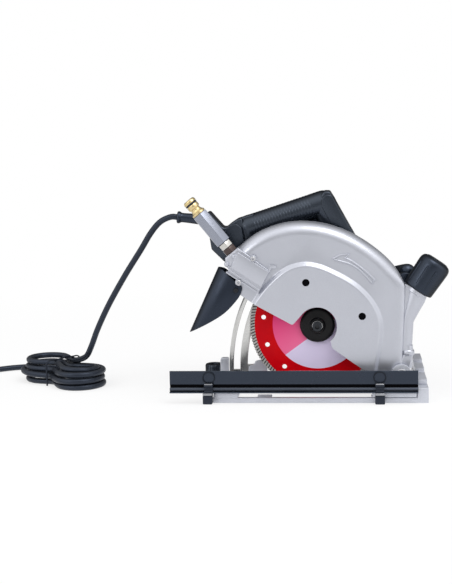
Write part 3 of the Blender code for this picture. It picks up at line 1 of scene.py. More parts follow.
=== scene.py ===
import json
import math

import bmesh
import bpy
from mathutils import Matrix, Vector


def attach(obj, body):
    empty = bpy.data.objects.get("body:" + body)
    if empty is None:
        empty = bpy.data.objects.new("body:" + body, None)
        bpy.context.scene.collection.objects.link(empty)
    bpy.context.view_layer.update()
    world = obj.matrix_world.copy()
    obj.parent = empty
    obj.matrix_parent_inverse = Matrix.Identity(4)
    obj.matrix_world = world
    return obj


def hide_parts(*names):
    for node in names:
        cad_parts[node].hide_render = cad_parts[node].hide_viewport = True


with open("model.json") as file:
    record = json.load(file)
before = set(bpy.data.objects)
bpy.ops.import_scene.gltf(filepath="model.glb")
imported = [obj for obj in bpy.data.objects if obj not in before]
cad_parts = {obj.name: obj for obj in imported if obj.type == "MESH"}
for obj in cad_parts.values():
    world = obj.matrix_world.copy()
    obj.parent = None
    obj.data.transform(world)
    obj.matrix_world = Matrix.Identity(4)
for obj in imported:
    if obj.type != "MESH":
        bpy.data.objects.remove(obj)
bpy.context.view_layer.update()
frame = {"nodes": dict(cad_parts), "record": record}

# Shapes are drawn in millimetres in the saw's own axes: x to the front, y back from the blade, z up
MM = 0.001
BLADE_PLANE = -0.040
PLACE = Matrix.Translation((0.0, BLADE_PLANE, 0.0)) @ Matrix.Scale(MM, 4)
ORIGIN = (0.0, 0.0, 0.0)
BACK = (0.0, 1.0, 0.0)
UP = (0.0, 0.0, 1.0)
FINE = 72

# Saw's main sizes
ARBOR = (0.0, 97.0)
BLADE_R = 90.0
RIM_DEPTH = 6.4
LABEL_R = 59.4
GUARD_CENTRE = (-8.0, 101.0)
GUARD_R = 132.0
GUARD_NEAR = -16.0
GUARD_FAR = 16.0
GUARD_WALL = 3.4
PLATEAU_RISE = 5.0
SLOPE_WIDE = 5.2
PIVOT = (109.0, 34.0)
CORD_R = 4.1
CORD_D = 2 * CORD_R
FLOOR_Z = CORD_R + 0.1


def polar(centre, radius, degrees):
    angle = math.radians(degrees)
    return (centre[0] + radius * math.cos(angle), centre[1] + radius * math.sin(angle))


def arc(centre, radius, start, end, steps):
    return [polar(centre, radius, start + (end - start) * i / steps) for i in range(steps + 1)]


def side_view(point, y=0.0):
    """Point (x, z) of the side view at a depth."""
    return Vector((point[0], y, point[1]))


def sloped(degrees):
    """Direction in side view at an angle above the front."""
    return side_view(polar((0.0, 0.0), 1.0, degrees))


def rounded(corners, steps=8):
    """Outline through corners (x, z, radius), each rounded by an arc of its radius."""
    outline = []
    for i, (x, z, radius) in enumerate(corners):
        here = Vector((x, z))
        if radius <= 0:
            outline.append((x, z))
            continue
        before = (Vector(corners[i - 1][:2]) - here).normalized()
        after = (Vector(corners[(i + 1) % len(corners)][:2]) - here).normalized()
        half = before.angle(after) / 2
        centre = here + (before + after).normalized() * radius / math.sin(half)
        first = here + before * radius / math.tan(half) - centre
        last = here + after * radius / math.tan(half) - centre
        sweep = first.angle_signed(last)
        for k in range(steps + 1):
            outline.append(tuple(centre + Matrix.Rotation(-sweep * k / steps, 2) @ first))
    return outline


def smooth_route(points, spacing):
    """Points along a smooth curve through the chosen ones, about one spacing apart."""
    knots = [Vector(p) for p in points]
    knots = [2 * knots[0] - knots[1]] + knots + [2 * knots[-1] - knots[-2]]
    route = []
    for a, b, c, d in zip(knots, knots[1:], knots[2:], knots[3:]):
        steps = max(1, round((c - b).length / spacing))
        square, cube = 2 * a - 5 * b + 4 * c - d, 3 * b - a - 3 * c + d
        for i in range(steps):
            t = i / steps
            route.append(0.5 * (2 * b + (c - a) * t + square * t**2 + cube * t**3))
    return route + [knots[-2]]


def smooth_outline(points, spacing):
    return [tuple(p) for p in smooth_route(points, spacing)]


# Shaping


def moved_verts(made):
    return [v for v in made["geom"] if isinstance(v, bmesh.types.BMVert)]


def all_of(bm):
    return bm.verts[:] + bm.edges[:] + bm.faces[:]


def outward(bm):
    bmesh.ops.recalc_face_normals(bm, faces=bm.faces)
    return bm


def merged(bm, gap=1e-4):
    bmesh.ops.remove_doubles(bm, verts=bm.verts, dist=gap)
    return bm


def stood(at, along):
    """Matrix that takes a shape drawn up the z axis to a point, along a direction."""
    return Matrix.Translation(at) @ Vector(along).to_track_quat("Z", "Y").to_matrix().to_4x4()


def plate(points, near, far):
    """Plate with this outline in side view, from near to far."""
    bm = bmesh.new()
    bm.faces.new([bm.verts.new((x, near, z)) for x, z in points])
    grown = bmesh.ops.extrude_face_region(bm, geom=bm.faces[:])
    bmesh.ops.translate(bm, verts=moved_verts(grown), vec=(0, far - near, 0))
    return outward(bm)


def about(middle, half):
    """Ends of a length about its middle."""
    return (middle - half, middle + half)


def block(x, y, z):
    return plate([(x[0], z[0]), (x[1], z[0]), (x[1], z[1]), (x[0], z[1])], *y)


def turned(profile, at, along=BACK, steps=FINE):
    """Turned shape: (radius, length) points about a line from a point."""
    bm = bmesh.new()
    verts = [bm.verts.new((r, 0, s)) for r, s in profile]
    edges = [bm.edges.new(pair) for pair in zip(verts, verts[1:])]
    if profile[0][0] > 0:
        edges.append(bm.edges.new((verts[-1], verts[0])))
    bmesh.ops.spin(bm, geom=verts + edges, cent=ORIGIN, axis=UP, dvec=ORIGIN, angle=2 * math.pi, steps=steps,
                   use_merge=True)
    outward(merged(bm))
    bm.transform(stood(at, along))
    return bm


def bar(radius, low, high, at, along, steps=32):
    return turned([(0, low), (radius, low), (radius, high), (0, high)], at, along, steps)


def rod(radius, near, far, at, steps=32):
    """Bar straight back through a point of the side view."""
    return bar(radius, near, far, side_view(at), BACK, steps)


def bevel(bm, edges, width, segments=3):
    bmesh.ops.bevel(bm, geom=edges, offset=width, offset_type="OFFSET", segments=segments, profile=0.5,
                    affect="EDGES", clamp_overlap=True, material=-1)


def hard_edges(bm, degrees=30.0, where=None):
    """Edges where two faces meet at more than an angle, where a test of both ends holds."""
    limit = math.radians(degrees)
    chosen = [e for e in bm.edges if len(e.link_faces) == 2 and e.calc_face_angle() > limit]
    if where is None:
        return chosen
    return [e for e in chosen if all(where(v.co) for v in e.verts)]


def softened(bm, width, segments=2, degrees=30.0, where=None):
    bevel(bm, hard_edges(bm, degrees, where), width, segments)
    return bm


def soft_block(x, y, z, width, segments=3):
    return softened(block(x, y, z), width, segments)


def soft_plate(corners, near, far, width, segments=3, steps=5):
    """Plate with rounded corners (x, z, radius) and broken edges."""
    return softened(plate(rounded(corners, steps), near, far), width, segments, 40.0)


def mesh_of(name, bm):
    mesh = bpy.data.meshes.new(name)
    bm.to_mesh(mesh)
    bm.free()
    return mesh


def in_scene(name, data):
    obj = bpy.data.objects.new(name, data)
    bpy.context.scene.collection.objects.link(obj)
    return obj


def shape_of(obj):
    """Shape that an object's modifiers or curve settings give; the object goes."""
    bpy.context.view_layer.update()
    mesh = bpy.data.meshes.new_from_object(obj.evaluated_get(bpy.context.evaluated_depsgraph_get()))
    bm = bmesh.new()
    bm.from_mesh(mesh)
    bpy.data.meshes.remove(mesh)
    bpy.data.objects.remove(obj, do_unlink=True)
    return bm


def with_shape(bm, *others):
    """bm with other shapes added to it as they are."""
    for other in others:
        mesh = mesh_of("shape", other)
        bm.from_mesh(mesh)
        bpy.data.meshes.remove(mesh)
    return bm


def carved(bm, first, *others):
    """bm with other shapes taken out of it."""
    target = in_scene("shape", mesh_of("shape", bm))
    cutter = in_scene("shape", mesh_of("shape", with_shape(first, *others)))
    cut = target.modifiers.new("cut", "BOOLEAN")
    cut.operation = "DIFFERENCE"
    cut.solver = "EXACT"
    cut.object = cutter
    left = shape_of(target)
    bpy.data.objects.remove(cutter, do_unlink=True)
    return left


def round_line(name, points, radius, sides):
    """Open round curve through the points, and its spline."""
    data = bpy.data.curves.new(name, "CURVE")
    data.dimensions = "3D"
    data.bevel_depth = radius
    data.bevel_resolution = sides
    data.use_fill_caps = True
    spline = data.splines.new("POLY")
    spline.points.add(len(points) - 1)
    for target, point in zip(spline.points, points):
        target.co = (*point, 1.0)
    return data, spline


def swept(points, radii, sides=6):
    """Round tube through the points with a radius at each, as a mesh shape."""
    data, spline = round_line("tube", points, 1.0, sides)
    for target, radius in zip(spline.points, radii):
        target.radius = radius
    bm = shape_of(in_scene("tube", data))
    bpy.data.curves.remove(data)
    return outward(merged(bm))


def from_solid(node, width, segments=2):
    """Copy of a solid in millimetres, merged and with its edges broken."""
    bm = bmesh.new()
    bm.from_mesh(frame["nodes"][node].data)
    bm.transform(PLACE.inverted())
    merged(bm, 2e-3)
    bmesh.ops.dissolve_limit(bm, angle_limit=math.radians(1.0), verts=bm.verts, edges=bm.edges)
    return softened(bm, width, segments, 25.0)


def settle(name, bm, finish, body, *solids, sharp=35.0):
    """Finished piece in the saw's place, riding on a body in place of its solids."""
    bm.transform(PLACE)
    mesh = mesh_of(name, bm)
    mesh.shade_smooth()
    mesh.set_sharp_from_angle(angle=math.radians(sharp))
    return take(name, mesh, finish, body, *solids)


def take(name, data, finish, body, *solids):
    """Piece with its finish on a body, in place of its solids."""
    surface, slot = finish
    data.materials.append(surface)
    obj = in_scene(name, data)
    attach(obj, body)
    if solids:
        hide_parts(*solids)
    return obj


# Finishes


def fill(tree, node, inputs):
    """Inputs of a node by name or number: each a link, a colour or a plain value."""
    for title, value in inputs.items():
        socket = node.inputs[title]
        if isinstance(value, bpy.types.NodeSocket):
            tree.links.new(value, socket)
        else:
            socket.default_value = (*value, 1.0) if socket.type == "RGBA" else value


def add(tree, kind, inputs, **settings):
    """New shader node with its settings and inputs."""
    node = tree.nodes.new("ShaderNode" + kind)
    for title, value in settings.items():
        setattr(node, title, value)
    fill(tree, node, inputs)
    return node


def noise_in(tree, coordinate, scale, detail=3.0):
    return add(tree, "TexNoise", {"Vector": coordinate, "Scale": scale, "Detail": detail}).outputs["Fac"]


def spread(tree, value, low, high, to_low=0.0, to_high=1.0):
    """Value between two limits, carried over to two others."""
    limits = {"From Min": low, "From Max": high, "To Min": to_low, "To Max": to_high}
    return add(tree, "MapRange", {"Value": value, **limits}).outputs["Result"]


def math_of(tree, operation, first, second):
    return add(tree, "Math", {0: first, 1: second}, operation=operation).outputs["Value"]


def colour_between(tree, mask, first, second):
    return add(tree, "Mix", {0: mask, 6: first, 7: second}, data_type="RGBA").outputs[2]


def bump_of(tree, height, depth):
    return add(tree, "Bump", {"Strength": 1.0, "Distance": depth, "Height": height}).outputs["Normal"]


def object_place(tree):
    return tree.nodes.new("ShaderNodeTexCoord").outputs["Object"]


def new_material(name):
    made = bpy.data.materials.new(name)
    made.use_nodes = True
    return made, made.node_tree, made.node_tree.nodes["Principled BSDF"]


def make_surface_grain():
    """Grain, slow shading and dull patches that most of the saw's finishes share."""
    group = bpy.data.node_groups.new("surface_grain", "ShaderNodeTree")
    sockets = (("INPUT", "Vector", "Vector"), ("INPUT", "Colour", "Color"), ("INPUT", "Shade", "Color"),
               ("INPUT", "Grain Scale", "Float"), ("INPUT", "Patch Scale", "Float"),
               ("INPUT", "Rough Low", "Float"), ("INPUT", "Rough High", "Float"),
               ("OUTPUT", "Colour", "Color"), ("OUTPUT", "Roughness", "Float"), ("OUTPUT", "Height", "Float"))
    for way, title, kind in sockets:
        group.interface.new_socket(title, in_out=way, socket_type="NodeSocket" + kind)
    given = group.nodes.new("NodeGroupInput").outputs
    grain = noise_in(group, given["Vector"], given["Grain Scale"], 2.0)
    patch = noise_in(group, given["Vector"], given["Patch Scale"], 4.0)
    shares = [math_of(group, "MULTIPLY", noise, share) for noise, share in ((grain, 0.55), (patch, 0.45))]
    mask = spread(group, math_of(group, "ADD", *shares), 0.38, 0.62)
    tone = colour_between(group, mask, given["Shade"], given["Colour"])
    rough = spread(group, patch, 0.35, 0.65, given["Rough Low"], given["Rough High"])
    fill(group, group.nodes.new("NodeGroupOutput"), {"Colour": tone, "Roughness": rough, "Height": grain})
    return group


SURFACE_GRAIN = make_surface_grain()

# Grain of a surface: how fine its specks are, how fine its patches are, and its depth in metres
PLAIN_GRAIN = (1200.0, 30.0, 0.00003)
CAST_GRAIN = (1500.0, 24.0, 0.00003)
STEEL_GRAIN = (900.0, 60.0, 0.00003)
BRASS_GRAIN = (900.0, 80.0, 0.00003)
PLASTIC_GRAIN = (2600.0, 40.0, 0.00005)
RUBBER_GRAIN = (1800.0, 26.0, 0.00003)
RAIL_GRAIN = (900.0, 22.0, 0.00001)
CORD_GRAIN = (1200.0, 60.0, 0.00001)
LACQUER_GRAIN = (500.0, 18.0, 0.00001)
GRIT_GRAIN = (2600.0, 200.0, 0.00012)
WHITE = (1.0, 1.0, 1.0)
COOL = (0.62, 0.74, 1.0)


def grained(name, slot, colour, shade, rough, metallic=0.0, grain=PLAIN_GRAIN, specular=0.5, tint=WHITE,
            dull_edge=False):
    """Finish with its colour, a darker shade, a range of roughness, and a sheen that may fade edge-on."""
    made, tree, shader = new_material(name)
    specks, patches, depth = grain
    surface = add(tree, "Group", {"Vector": object_place(tree), "Colour": colour, "Shade": shade,
                                  "Grain Scale": specks, "Patch Scale": patches, "Rough Low": rough[0],
                                  "Rough High": rough[1]}, node_tree=SURFACE_GRAIN).outputs
    fill(tree, shader, {"Base Color": surface["Colour"], "Roughness": surface["Roughness"],
                        "Normal": bump_of(tree, surface["Height"], depth), "Metallic": metallic,
                        "Specular IOR Level": specular, "Specular Tint": tint})
    if dull_edge:
        facing = tree.nodes.new("ShaderNodeLayerWeight").outputs["Facing"]
        fill(tree, shader, {"Specular IOR Level": spread(tree, facing, 0.22, 0.55, specular, 0.05)})
    return made, slot


CAST = grained("cast_aluminium", "cast", (0.545, 0.56, 0.618), (0.50, 0.515, 0.572), (0.28, 0.38), 0.75,
               CAST_GRAIN)
BASE_CAST = grained("machined_casting", "cast", (0.63, 0.65, 0.715), (0.56, 0.58, 0.64), (0.32, 0.44), 0.45)
FEED_ALLOY = grained("feed_alloy", "cast", (0.33, 0.35, 0.41), (0.28, 0.30, 0.36), (0.26, 0.38), 0.85)
STEEL = grained("plain_steel", "steel", (0.66, 0.66, 0.68), (0.54, 0.54, 0.56), (0.20, 0.34), 1.0,
                STEEL_GRAIN)
BRIGHT_STEEL = grained("plated_steel", "steel", (0.66, 0.65, 0.62), (0.56, 0.55, 0.52), (0.18, 0.30), 1.0)
ARC_STEEL = grained("arc_steel", "steel", (0.72, 0.72, 0.71), (0.60, 0.60, 0.59), (0.22, 0.34), 1.0)
LAMINATION = grained("laminated_steel", "steel", (0.12, 0.12, 0.13), (0.08, 0.08, 0.09), (0.45, 0.6), 0.8)
BLACK_STEEL = grained("black_steel", "dark_metal", (0.012, 0.014, 0.018), (0.008, 0.009, 0.012), (0.28, 0.42),
                      0.2, specular=0.4, tint=COOL)
BROWN_STEEL = grained("browned_steel", "brass", (0.10, 0.076, 0.072), (0.07, 0.054, 0.052), (0.20, 0.30), 0.9)
PLASTIC = grained("black_plastic", "plastic", (0.005, 0.007, 0.011), (0.003, 0.005, 0.008), (0.24, 0.33),
                  grain=PLASTIC_GRAIN, specular=0.92, tint=(0.70, 0.81, 1.0), dull_edge=True)
KNOB_PLASTIC = grained("knob_plastic", "plastic", (0.006, 0.008, 0.012), (0.004, 0.006, 0.009), (0.24, 0.33),
                       grain=PLASTIC_GRAIN, specular=0.66, tint=COOL, dull_edge=True)
CHUTE_RUBBER = grained("chute_rubber", "rubber", (0.005, 0.007, 0.012), (0.003, 0.005, 0.009), (0.25, 0.34),
                       grain=RUBBER_GRAIN, specular=0.60, tint=COOL, dull_edge=True)
DARK_PLASTIC = grained("dark_plastic", "grey_plastic", (0.010, 0.011, 0.015), (0.007, 0.008, 0.011),
                       (0.30, 0.40), tint=COOL)
CARBON = grained("carbon", "grey_plastic", (0.020, 0.020, 0.021), (0.012, 0.012, 0.012), (0.7, 0.85))
RUBBER = grained("black_rubber", "rubber", (0.005, 0.008, 0.014), (0.003, 0.006, 0.010), (0.26, 0.34),
                 grain=RUBBER_GRAIN, specular=0.7, tint=COOL, dull_edge=True)
RAIL_BLACK = grained("rail_black", "rubber", (0.008, 0.010, 0.014), (0.005, 0.007, 0.010), (0.22, 0.36),
                     grain=RAIL_GRAIN, specular=0.75, tint=COOL)
# Lighter copy of the rail's black: paints the highlight that runs along the bead
BEAD_PAINTED_HIGHLIGHT = grained("rail_bead_painted_highlight", "rubber", (0.045, 0.050, 0.060), (0.034, 0.038, 0.047), (0.24, 0.34),
                    grain=RAIL_GRAIN, specular=0.6, tint=COOL)
# Near-black, almost unlit finish that paints shade: in the rail's groove and in the guard's two holes
PAINTED_SHADE_BLACK = grained("painted_shade_black", "rubber", (0.002, 0.002, 0.003), (0.001, 0.001, 0.002), (0.6, 0.8),
                       specular=0.05)
CORD_RUBBER = grained("cord_rubber", "cord", (0.011, 0.013, 0.018), (0.008, 0.010, 0.014), (0.34, 0.44),
                      grain=CORD_GRAIN, specular=0.55, tint=COOL)
BRASS = grained("turned_brass", "brass", (0.80, 0.65, 0.36), (0.67, 0.53, 0.27), (0.18, 0.30), 1.0,
                BRASS_GRAIN)
COPPER = grained("copper_winding", "copper", (0.45, 0.17, 0.08), (0.32, 0.11, 0.05), (0.35, 0.5), 0.9)
BLADE_RED = grained("blade_red", "blade_red", (0.55, 0.001, 0.008), (0.42, 0.001, 0.008), (0.30, 0.40),
                    grain=LACQUER_GRAIN, specular=0.08)
FLANGE_BLACK = grained("flange_black", "dark_metal", (0.006, 0.006, 0.007), (0.003, 0.003, 0.004),
                       (0.26, 0.36), specular=0.2)
BOLT_BLACK = grained("bolt_black", "dark_metal", (0.020, 0.023, 0.030), (0.012, 0.014, 0.018), (0.22, 0.34),
                     0.4)
# Strap steel, lighter than the clip's black: also paints the highlights along the hook's top and above the
# foot
STRAP_STEEL_AND_HIGHLIGHT = grained("clip_steel_and_painted_highlight", "dark_metal", (0.40, 0.41, 0.44), (0.30, 0.31, 0.33), (0.16, 0.28), 1.0)
RIM_DARK = grained("rim_core", "dark_metal", (0.030, 0.028, 0.027), (0.016, 0.015, 0.015), (0.55, 0.7), 0.3)
RIM_GRIT = grained("rim_grit", "steel", (0.52, 0.505, 0.485), (0.32, 0.31, 0.30), (0.50, 0.65), 0.3,
                   GRIT_GRAIN)


def make_blade_face():
    """Red lacquer with a round two-tone label field, bare, about the blade's middle."""
    blur, slant = 0.15, (-0.591, 0.0, 0.806)
    made, tree, shader = new_material("blade_face")
    place = object_place(tree)
    centred = add(tree, "Mapping", {"Vector": place, "Location": side_view(ARBOR) * -MM,
                                    "Scale": (1.0, 0.0, 1.0)}).outputs["Vector"]
    size = add(tree, "VectorMath", {0: centred}, operation="LENGTH").outputs["Value"]
    label = spread(tree, size, (LABEL_R + blur) * MM, (LABEL_R - blur) * MM)
    line = add(tree, "VectorMath", {0: centred, 1: slant}, operation="DOT_PRODUCT").outputs["Value"]
    upper, fade = spread(tree, line, -0.0077, -0.0074), spread(tree, line, -0.0075, 0.045)
    pink = colour_between(tree, fade, (0.86, 0.160, 0.330), (0.78, 0.045, 0.200))
    field = colour_between(tree, upper, (0.72, 0.65, 0.86), pink)
    cloud = noise_in(tree, place, 34.0)
    red = colour_between(tree, spread(tree, cloud, 0.35, 0.65), (0.52, 0.0003, 0.006), (0.61, 0.0003, 0.004))
    fill(tree, shader, {"Base Color": colour_between(tree, label, red, field),
                        "Roughness": spread(tree, cloud, 0.35, 0.65, 0.30, 0.40),
                        "Normal": bump_of(tree, noise_in(tree, place, 900.0), 0.00001),
                        "Specular IOR Level": 0.08})
    return made, "blade_red"


BLADE_FACE = make_blade_face()

SOLID_FINISH = {
    "cast": CAST, "steel": STEEL, "dark_metal": BLACK_STEEL, "plastic": PLASTIC, "grey_plastic": DARK_PLASTIC,
    "rubber": RUBBER, "cord": CORD_RUBBER, "brass": BRASS, "copper": COPPER, "blade_red": BLADE_RED,
}
SOLID_OWN = {"field_stator": LAMINATION, "lock_nut": BROWN_STEEL, "carbon_brush_front": CARBON,
             "carbon_brush_rear": CARBON, "base_plate": BASE_CAST, "hex_extension": FEED_ALLOY,
             "depth_quadrant": ARC_STEEL, "splash_rail": RAIL_BLACK}


def dress_solids():
    """Finish of every solid that stays in view."""
    for part in frame["record"]["subparts"]:
        node = part["node"]
        surface = SOLID_OWN.get(node, SOLID_FINISH[part["material_slot"]])[0]
        mesh = frame["nodes"][node].data
        mesh.materials.clear()
        mesh.materials.append(surface)


# Cord


LAYER = 8.9
LOOP_POINTS = 24
HANK_AT = (-365.0, 85.0)
HANK_TURN = -38.0
COIL_AT = (-580.0, 72.0)
PLUG_R = 18.5


def hank_point(turn, offset):
    """Point of the hank's loop, drawn in at the waist, at a share of a turn and an offset outwards."""
    end_r, half_run, waist_in = 25.0, 35.0, 12.0
    share = turn % 1.0
    quarter, part = int(share * 4), share * 4 % 1.0
    side = 1 if quarter in (0, 3) else -1
    if quarter in (0, 2):
        lift = half_run * (2 * part - 1) * side
        waist = end_r - waist_in * math.cos(math.pi * lift / (2 * half_run)) ** 2
        slope = waist_in * math.pi / (2 * half_run) * math.sin(math.pi * lift / half_run)
        normal = Vector((-slope, 1.0)).normalized()
        return Vector((lift, side * waist)) + Vector((normal.x, side * normal.y)) * offset
    angle = math.radians(90 - 180 * part) if quarter == 1 else math.radians(-90 - 180 * part)
    middle = half_run if quarter == 1 else -half_run
    return Vector((middle, 0)) + (end_r + offset) * Vector((math.cos(angle), math.sin(angle)))


def wound(stages, turn, offset, point_at):
    """Route from the floor up in stages (turns, offset gained per turn, climb), through points of a loop."""
    height, route = FLOOR_Z, []
    for turns, gain, climb in stages:
        count = round(turns * LOOP_POINTS)
        for i in range(count):
            part = i / count
            x, y = point_at(turn + turns * part, offset + gain * turns * part)
            route.append(Vector((x, y, height + climb * part)))
        turn, offset, height = turn + turns, offset + gain * turns, height + climb
    return route + [Vector((*point_at(turn, offset), height))]


def hank_route():
    """Loops in four layers: each layer spirals in or out, then climbs in half a turn."""
    pitch = 10.4
    layer_in, climb, layer_out = (1.0, -pitch, 0.0), (0.5, 0.0, LAYER), (1.0, pitch, 0.0)
    stages = (layer_in, climb, layer_out, climb, layer_in, climb, (0.5, pitch, 0.0))
    route = wound(stages, 0.125, pitch, hank_point)
    route.insert(0, route[0] + Vector((-CORD_D, CORD_D * 0.45, 0.0)))
    route.append(route[-1] + Vector((CORD_D, 0.0, 0.0)))
    spin = Matrix.Rotation(math.radians(HANK_TURN), 4, "Z")
    return [Matrix.Translation((*HANK_AT, 0.0)) @ spin @ point for point in route]


def coil_route():
    """Round coil in two layers: spirals in on the floor, climbs and spirals out to the plug."""
    turns_in, pitch, leave, outer_r = 2.5, 10.0, 28.0, 57.5
    stages = ((turns_in, -pitch, 0.0), (0.5, 0.0, LAYER), (turns_in - 0.25, pitch, 0.0),
              (0.25, leave * 4, PLUG_R + 0.2 - FLOOR_Z - LAYER))
    route = wound(stages, 0.25, outer_r, lambda turn, radius: polar(COIL_AT, radius, 360.0 * turn))
    leaving = (route[-1] - route[-2]).to_2d().normalized() * CORD_D
    route.insert(0, route[0] + Vector((CORD_D, 0, 0)))
    route.append(route[-1] + leaving.to_3d())
    return route


def cord_line(name, points, finish, body, *solids):
    """Round cord through the points, as one open curve."""
    data, spline = round_line(name, [PLACE @ p for p in points], CORD_R * MM, 5)
    spline.use_smooth = True
    return take(name, data, finish, body, *solids)


def tie_wire(name, middle, heading, span, top, *solids):
    """Wire tie bent over the cord's turns: two strands side by side, their ends twisted together on top."""
    wire, bend, step, turn, steps = 0.8, 6.0, 0.5, 0.8, 25
    put = Matrix.Translation((*middle, 0.0)) @ Matrix.Rotation(math.radians(heading), 4, "Z")
    left, right = span
    arch = rounded(((left, wire, 0.0), (left, top, bend), (right, top, bend), (right, wire, 0.0)), 6)
    strands = [[(s, side, z) for s, z in arch] for side in (-wire, wire)]
    for phase in (0.0, math.pi):
        twist = [polar((0.0, top + 2.0 * wire), wire, math.degrees(turn * i + phase)) for i in range(steps)]
        strands.append([((left + right) / 2 + step * i, y, z) for i, (y, z) in enumerate(twist)])
    tubes = [swept([put @ Vector(p) for p in strand], [wire] * len(strand), 3) for strand in strands]
    return settle(name, with_shape(*tubes), DARK_PLASTIC, "head", *solids)


def make_plug(start, along):
    """Round mains plug on the cord's end: ribbed neck, grooved grip, flat face and two pins."""
    bore, ribs, pin_aside, groove = 4.4, 5, 9.5, PLUG_R - 0.9
    neck = [(bore, 0.3), (6.0, 0.3)]
    for i in range(ribs):
        at, size = 1.6 + 2.9 * i, 6.2 + 0.38 * i
        neck += [(size, at), (size + 0.1, at + 1.4), (size - 0.9, at + 1.7), (size - 0.8, at + 2.6)]
    grip = [(8.0, 16.2), (12.6, 17.6), (16.4, 19.8), (PLUG_R - 0.4, 22.6), (PLUG_R, 24.0), (PLUG_R, 26.0),
            (groove, 26.5), (groove, 28.1), (PLUG_R, 28.6), (PLUG_R, 30.4), (groove, 30.9),
            (groove, 32.5), (PLUG_R, 33.0), (PLUG_R, 36.8), (PLUG_R - 1.2, 38.0), (bore, 38.0)]
    pin = [(0, 36.0), (2.4, 36.0), (2.4, 55.4), (1.8, 56.5), (0, 57.0)]
    pins = with_shape(*[turned(pin, (side, 0, 0), UP, 24) for side in (-pin_aside, pin_aside)])
    pins.transform(stood(start, along))
    plug = settle("plug_body", turned(neck + grip, start, along, 64), RUBBER, "head", "mains_plug")
    cap = settle("plug_face", bar(6.0, 37.0, 38.2, start, along), DARK_PLASTIC, "head", "mains_plug")
    return [plug, settle("plug_pins", pins, BRIGHT_STEEL, "head", "mains_plug"), cap]


def make_cord():
    """Mains cord from the handle to the plug, by way of a tied hank and a tied coil."""
    hank, coil = hank_route(), coil_route()
    lead = [(-189.2, 48.0, 238.0), (-199.0, 48.0, 238.4), (-214.0, 50.0, 231.5), (-228.0, 53.0, 216.0),
            (-243.0, 58.0, 193.0), (-268.0, 65.0, 156.0), (-293.0, 71.0, 115.0), (-311.0, 75.5, 80.0),
            (-322.0, 79.0, 54.0), (-331.0, 83.0, 38.5)]
    on_floor = ((-371.0, 138.5), (-386.0, 158.0), (-406.0, 173.0), (-432.0, 179.0), (-460.0, 172.0),
                (-487.0, 155.0), (-513.0, 138.5), (-543.0, 130.0))
    tail = [(x, y, FLOOR_Z) for x, y in on_floor]
    whole = [Vector(p) for p in lead] + hank[::-1] + [Vector(p) for p in tail] + coil
    line = smooth_route(whole, 3.5)
    cord = cord_line("mains_cord", line, CORD_RUBBER, "head", "cord_lead", "cord_hank", "cord_tail",
                     "cord_coil")
    long = sum((a - b).length for a, b in zip(line, line[1:])) * MM
    print(f"mains_cord: {long:.3f} m")
    hank_half, coil_span = 30.5, (27.0, 58.0)
    hank_top, coil_top = FLOOR_Z + 3 * LAYER + CORD_R + 0.7, FLOOR_Z + LAYER + CORD_R + 1.0
    pieces = make_plug(coil[-1], coil[-1] - coil[-2])
    pieces.append(tie_wire("hank_tie_wire", HANK_AT, HANK_TURN + 90.0, (-hank_half, hank_half), hank_top,
                           "hank_tie"))
    pieces.append(tie_wire("coil_tie_wire", COIL_AT, 270.0, coil_span, coil_top))


# Guard


def crown_swell(share):
    """How far the crown stands off its circle: flatter towards the front, fuller towards the rear."""
    flat, full, turn, fade = -4.7, 5.4, 0.56, 0.60
    if share > turn:
        return full * math.sin(math.pi * (share - turn) / fade)
    wave = math.sin(math.pi * share / turn)
    return flat * (wave**2 if share < turn / 2 else wave)


def guard_crown():
    """Guard's rounded rim, swept about its middle and drawn down to the front foot, and its inner edge."""
    rim_r, foot, front_x, rear, fade, flat = 16.0, (110.0, 24.0), 115.0, 146.0, 15.0, 0.3
    middle = Vector(GUARD_CENTRE)
    front = math.degrees(math.acos((front_x - middle.x) / GUARD_R))
    inner = GUARD_R - rim_r
    section = [(inner - 1.0, GUARD_NEAR)]
    section += [(inner + y, GUARD_NEAR + x) for x, y in arc((rim_r, 0.0), rim_r, 180.0, 90.0, 12)]
    section += [(GUARD_R, GUARD_FAR)]
    bm = bmesh.new()
    verts = [bm.verts.new(side_view(polar(GUARD_CENTRE, radius, front), depth)) for radius, depth in section]
    edges = [bm.edges.new(pair) for pair in zip(verts, verts[1:])]
    bmesh.ops.spin(bm, geom=verts + edges, cent=side_view(middle), axis=BACK, dvec=ORIGIN,
                   angle=math.radians(front - rear), steps=FINE)
    around = {v: math.atan2(v.co.z - middle.y, v.co.x - middle.x) for v in bm.verts}
    edge = sorted((v for v in bm.verts if (v.co.xz - middle).length < inner - 0.5), key=around.get)
    for vert, angle in around.items():
        turn = math.degrees(angle)
        grown = (vert.co.xz - middle).length + crown_swell((turn - front) / (rear - front))
        vert.co.x, vert.co.z = polar(GUARD_CENTRE, grown, turn)
        rise = min(max((turn - front) / fade, 0.0), 1.0)
        if vert.co.y < 1.0:
            deep = flat + (1.0 - flat) * rise * rise * (3 - 2 * rise)
            vert.co.y = GUARD_NEAR + (vert.co.y - GUARD_NEAR) * deep
    drawn = moved_verts(bmesh.ops.extrude_edge_only(bm, edges=edges))
    for vert in drawn:
        inset = GUARD_R - (vert.co.xz - middle).length
        vert.co.x, vert.co.z = foot[0] - inset, foot[1]
    return bm, [min(drawn, key=lambda v: (v.co.y, v.co.x))] + edge


def plateau_edge():
    """Foot of the raised face's slope, from the rear edge over to the front."""
    points = ((-86.0, 129.2), (-77.4, 141.5), (-69.6, 151.4), (-58.5, 162.3), (-46.4, 172.1), (-33.2, 179.1),
              (-18.0, 182.3), (-7.2, 181.9), (7.9, 178.0), (25.1, 170.2), (42.3, 160.7), (57.3, 149.6),
              (70.2, 135.9), (78.7, 122.7), (84.0, 109.5), (85.9, 96.3), (85.0, 78.6), (82.8, 63.1),
              (79.5, 45.4), (77.5, 29.5))
    return smooth_outline(points, 4.0)


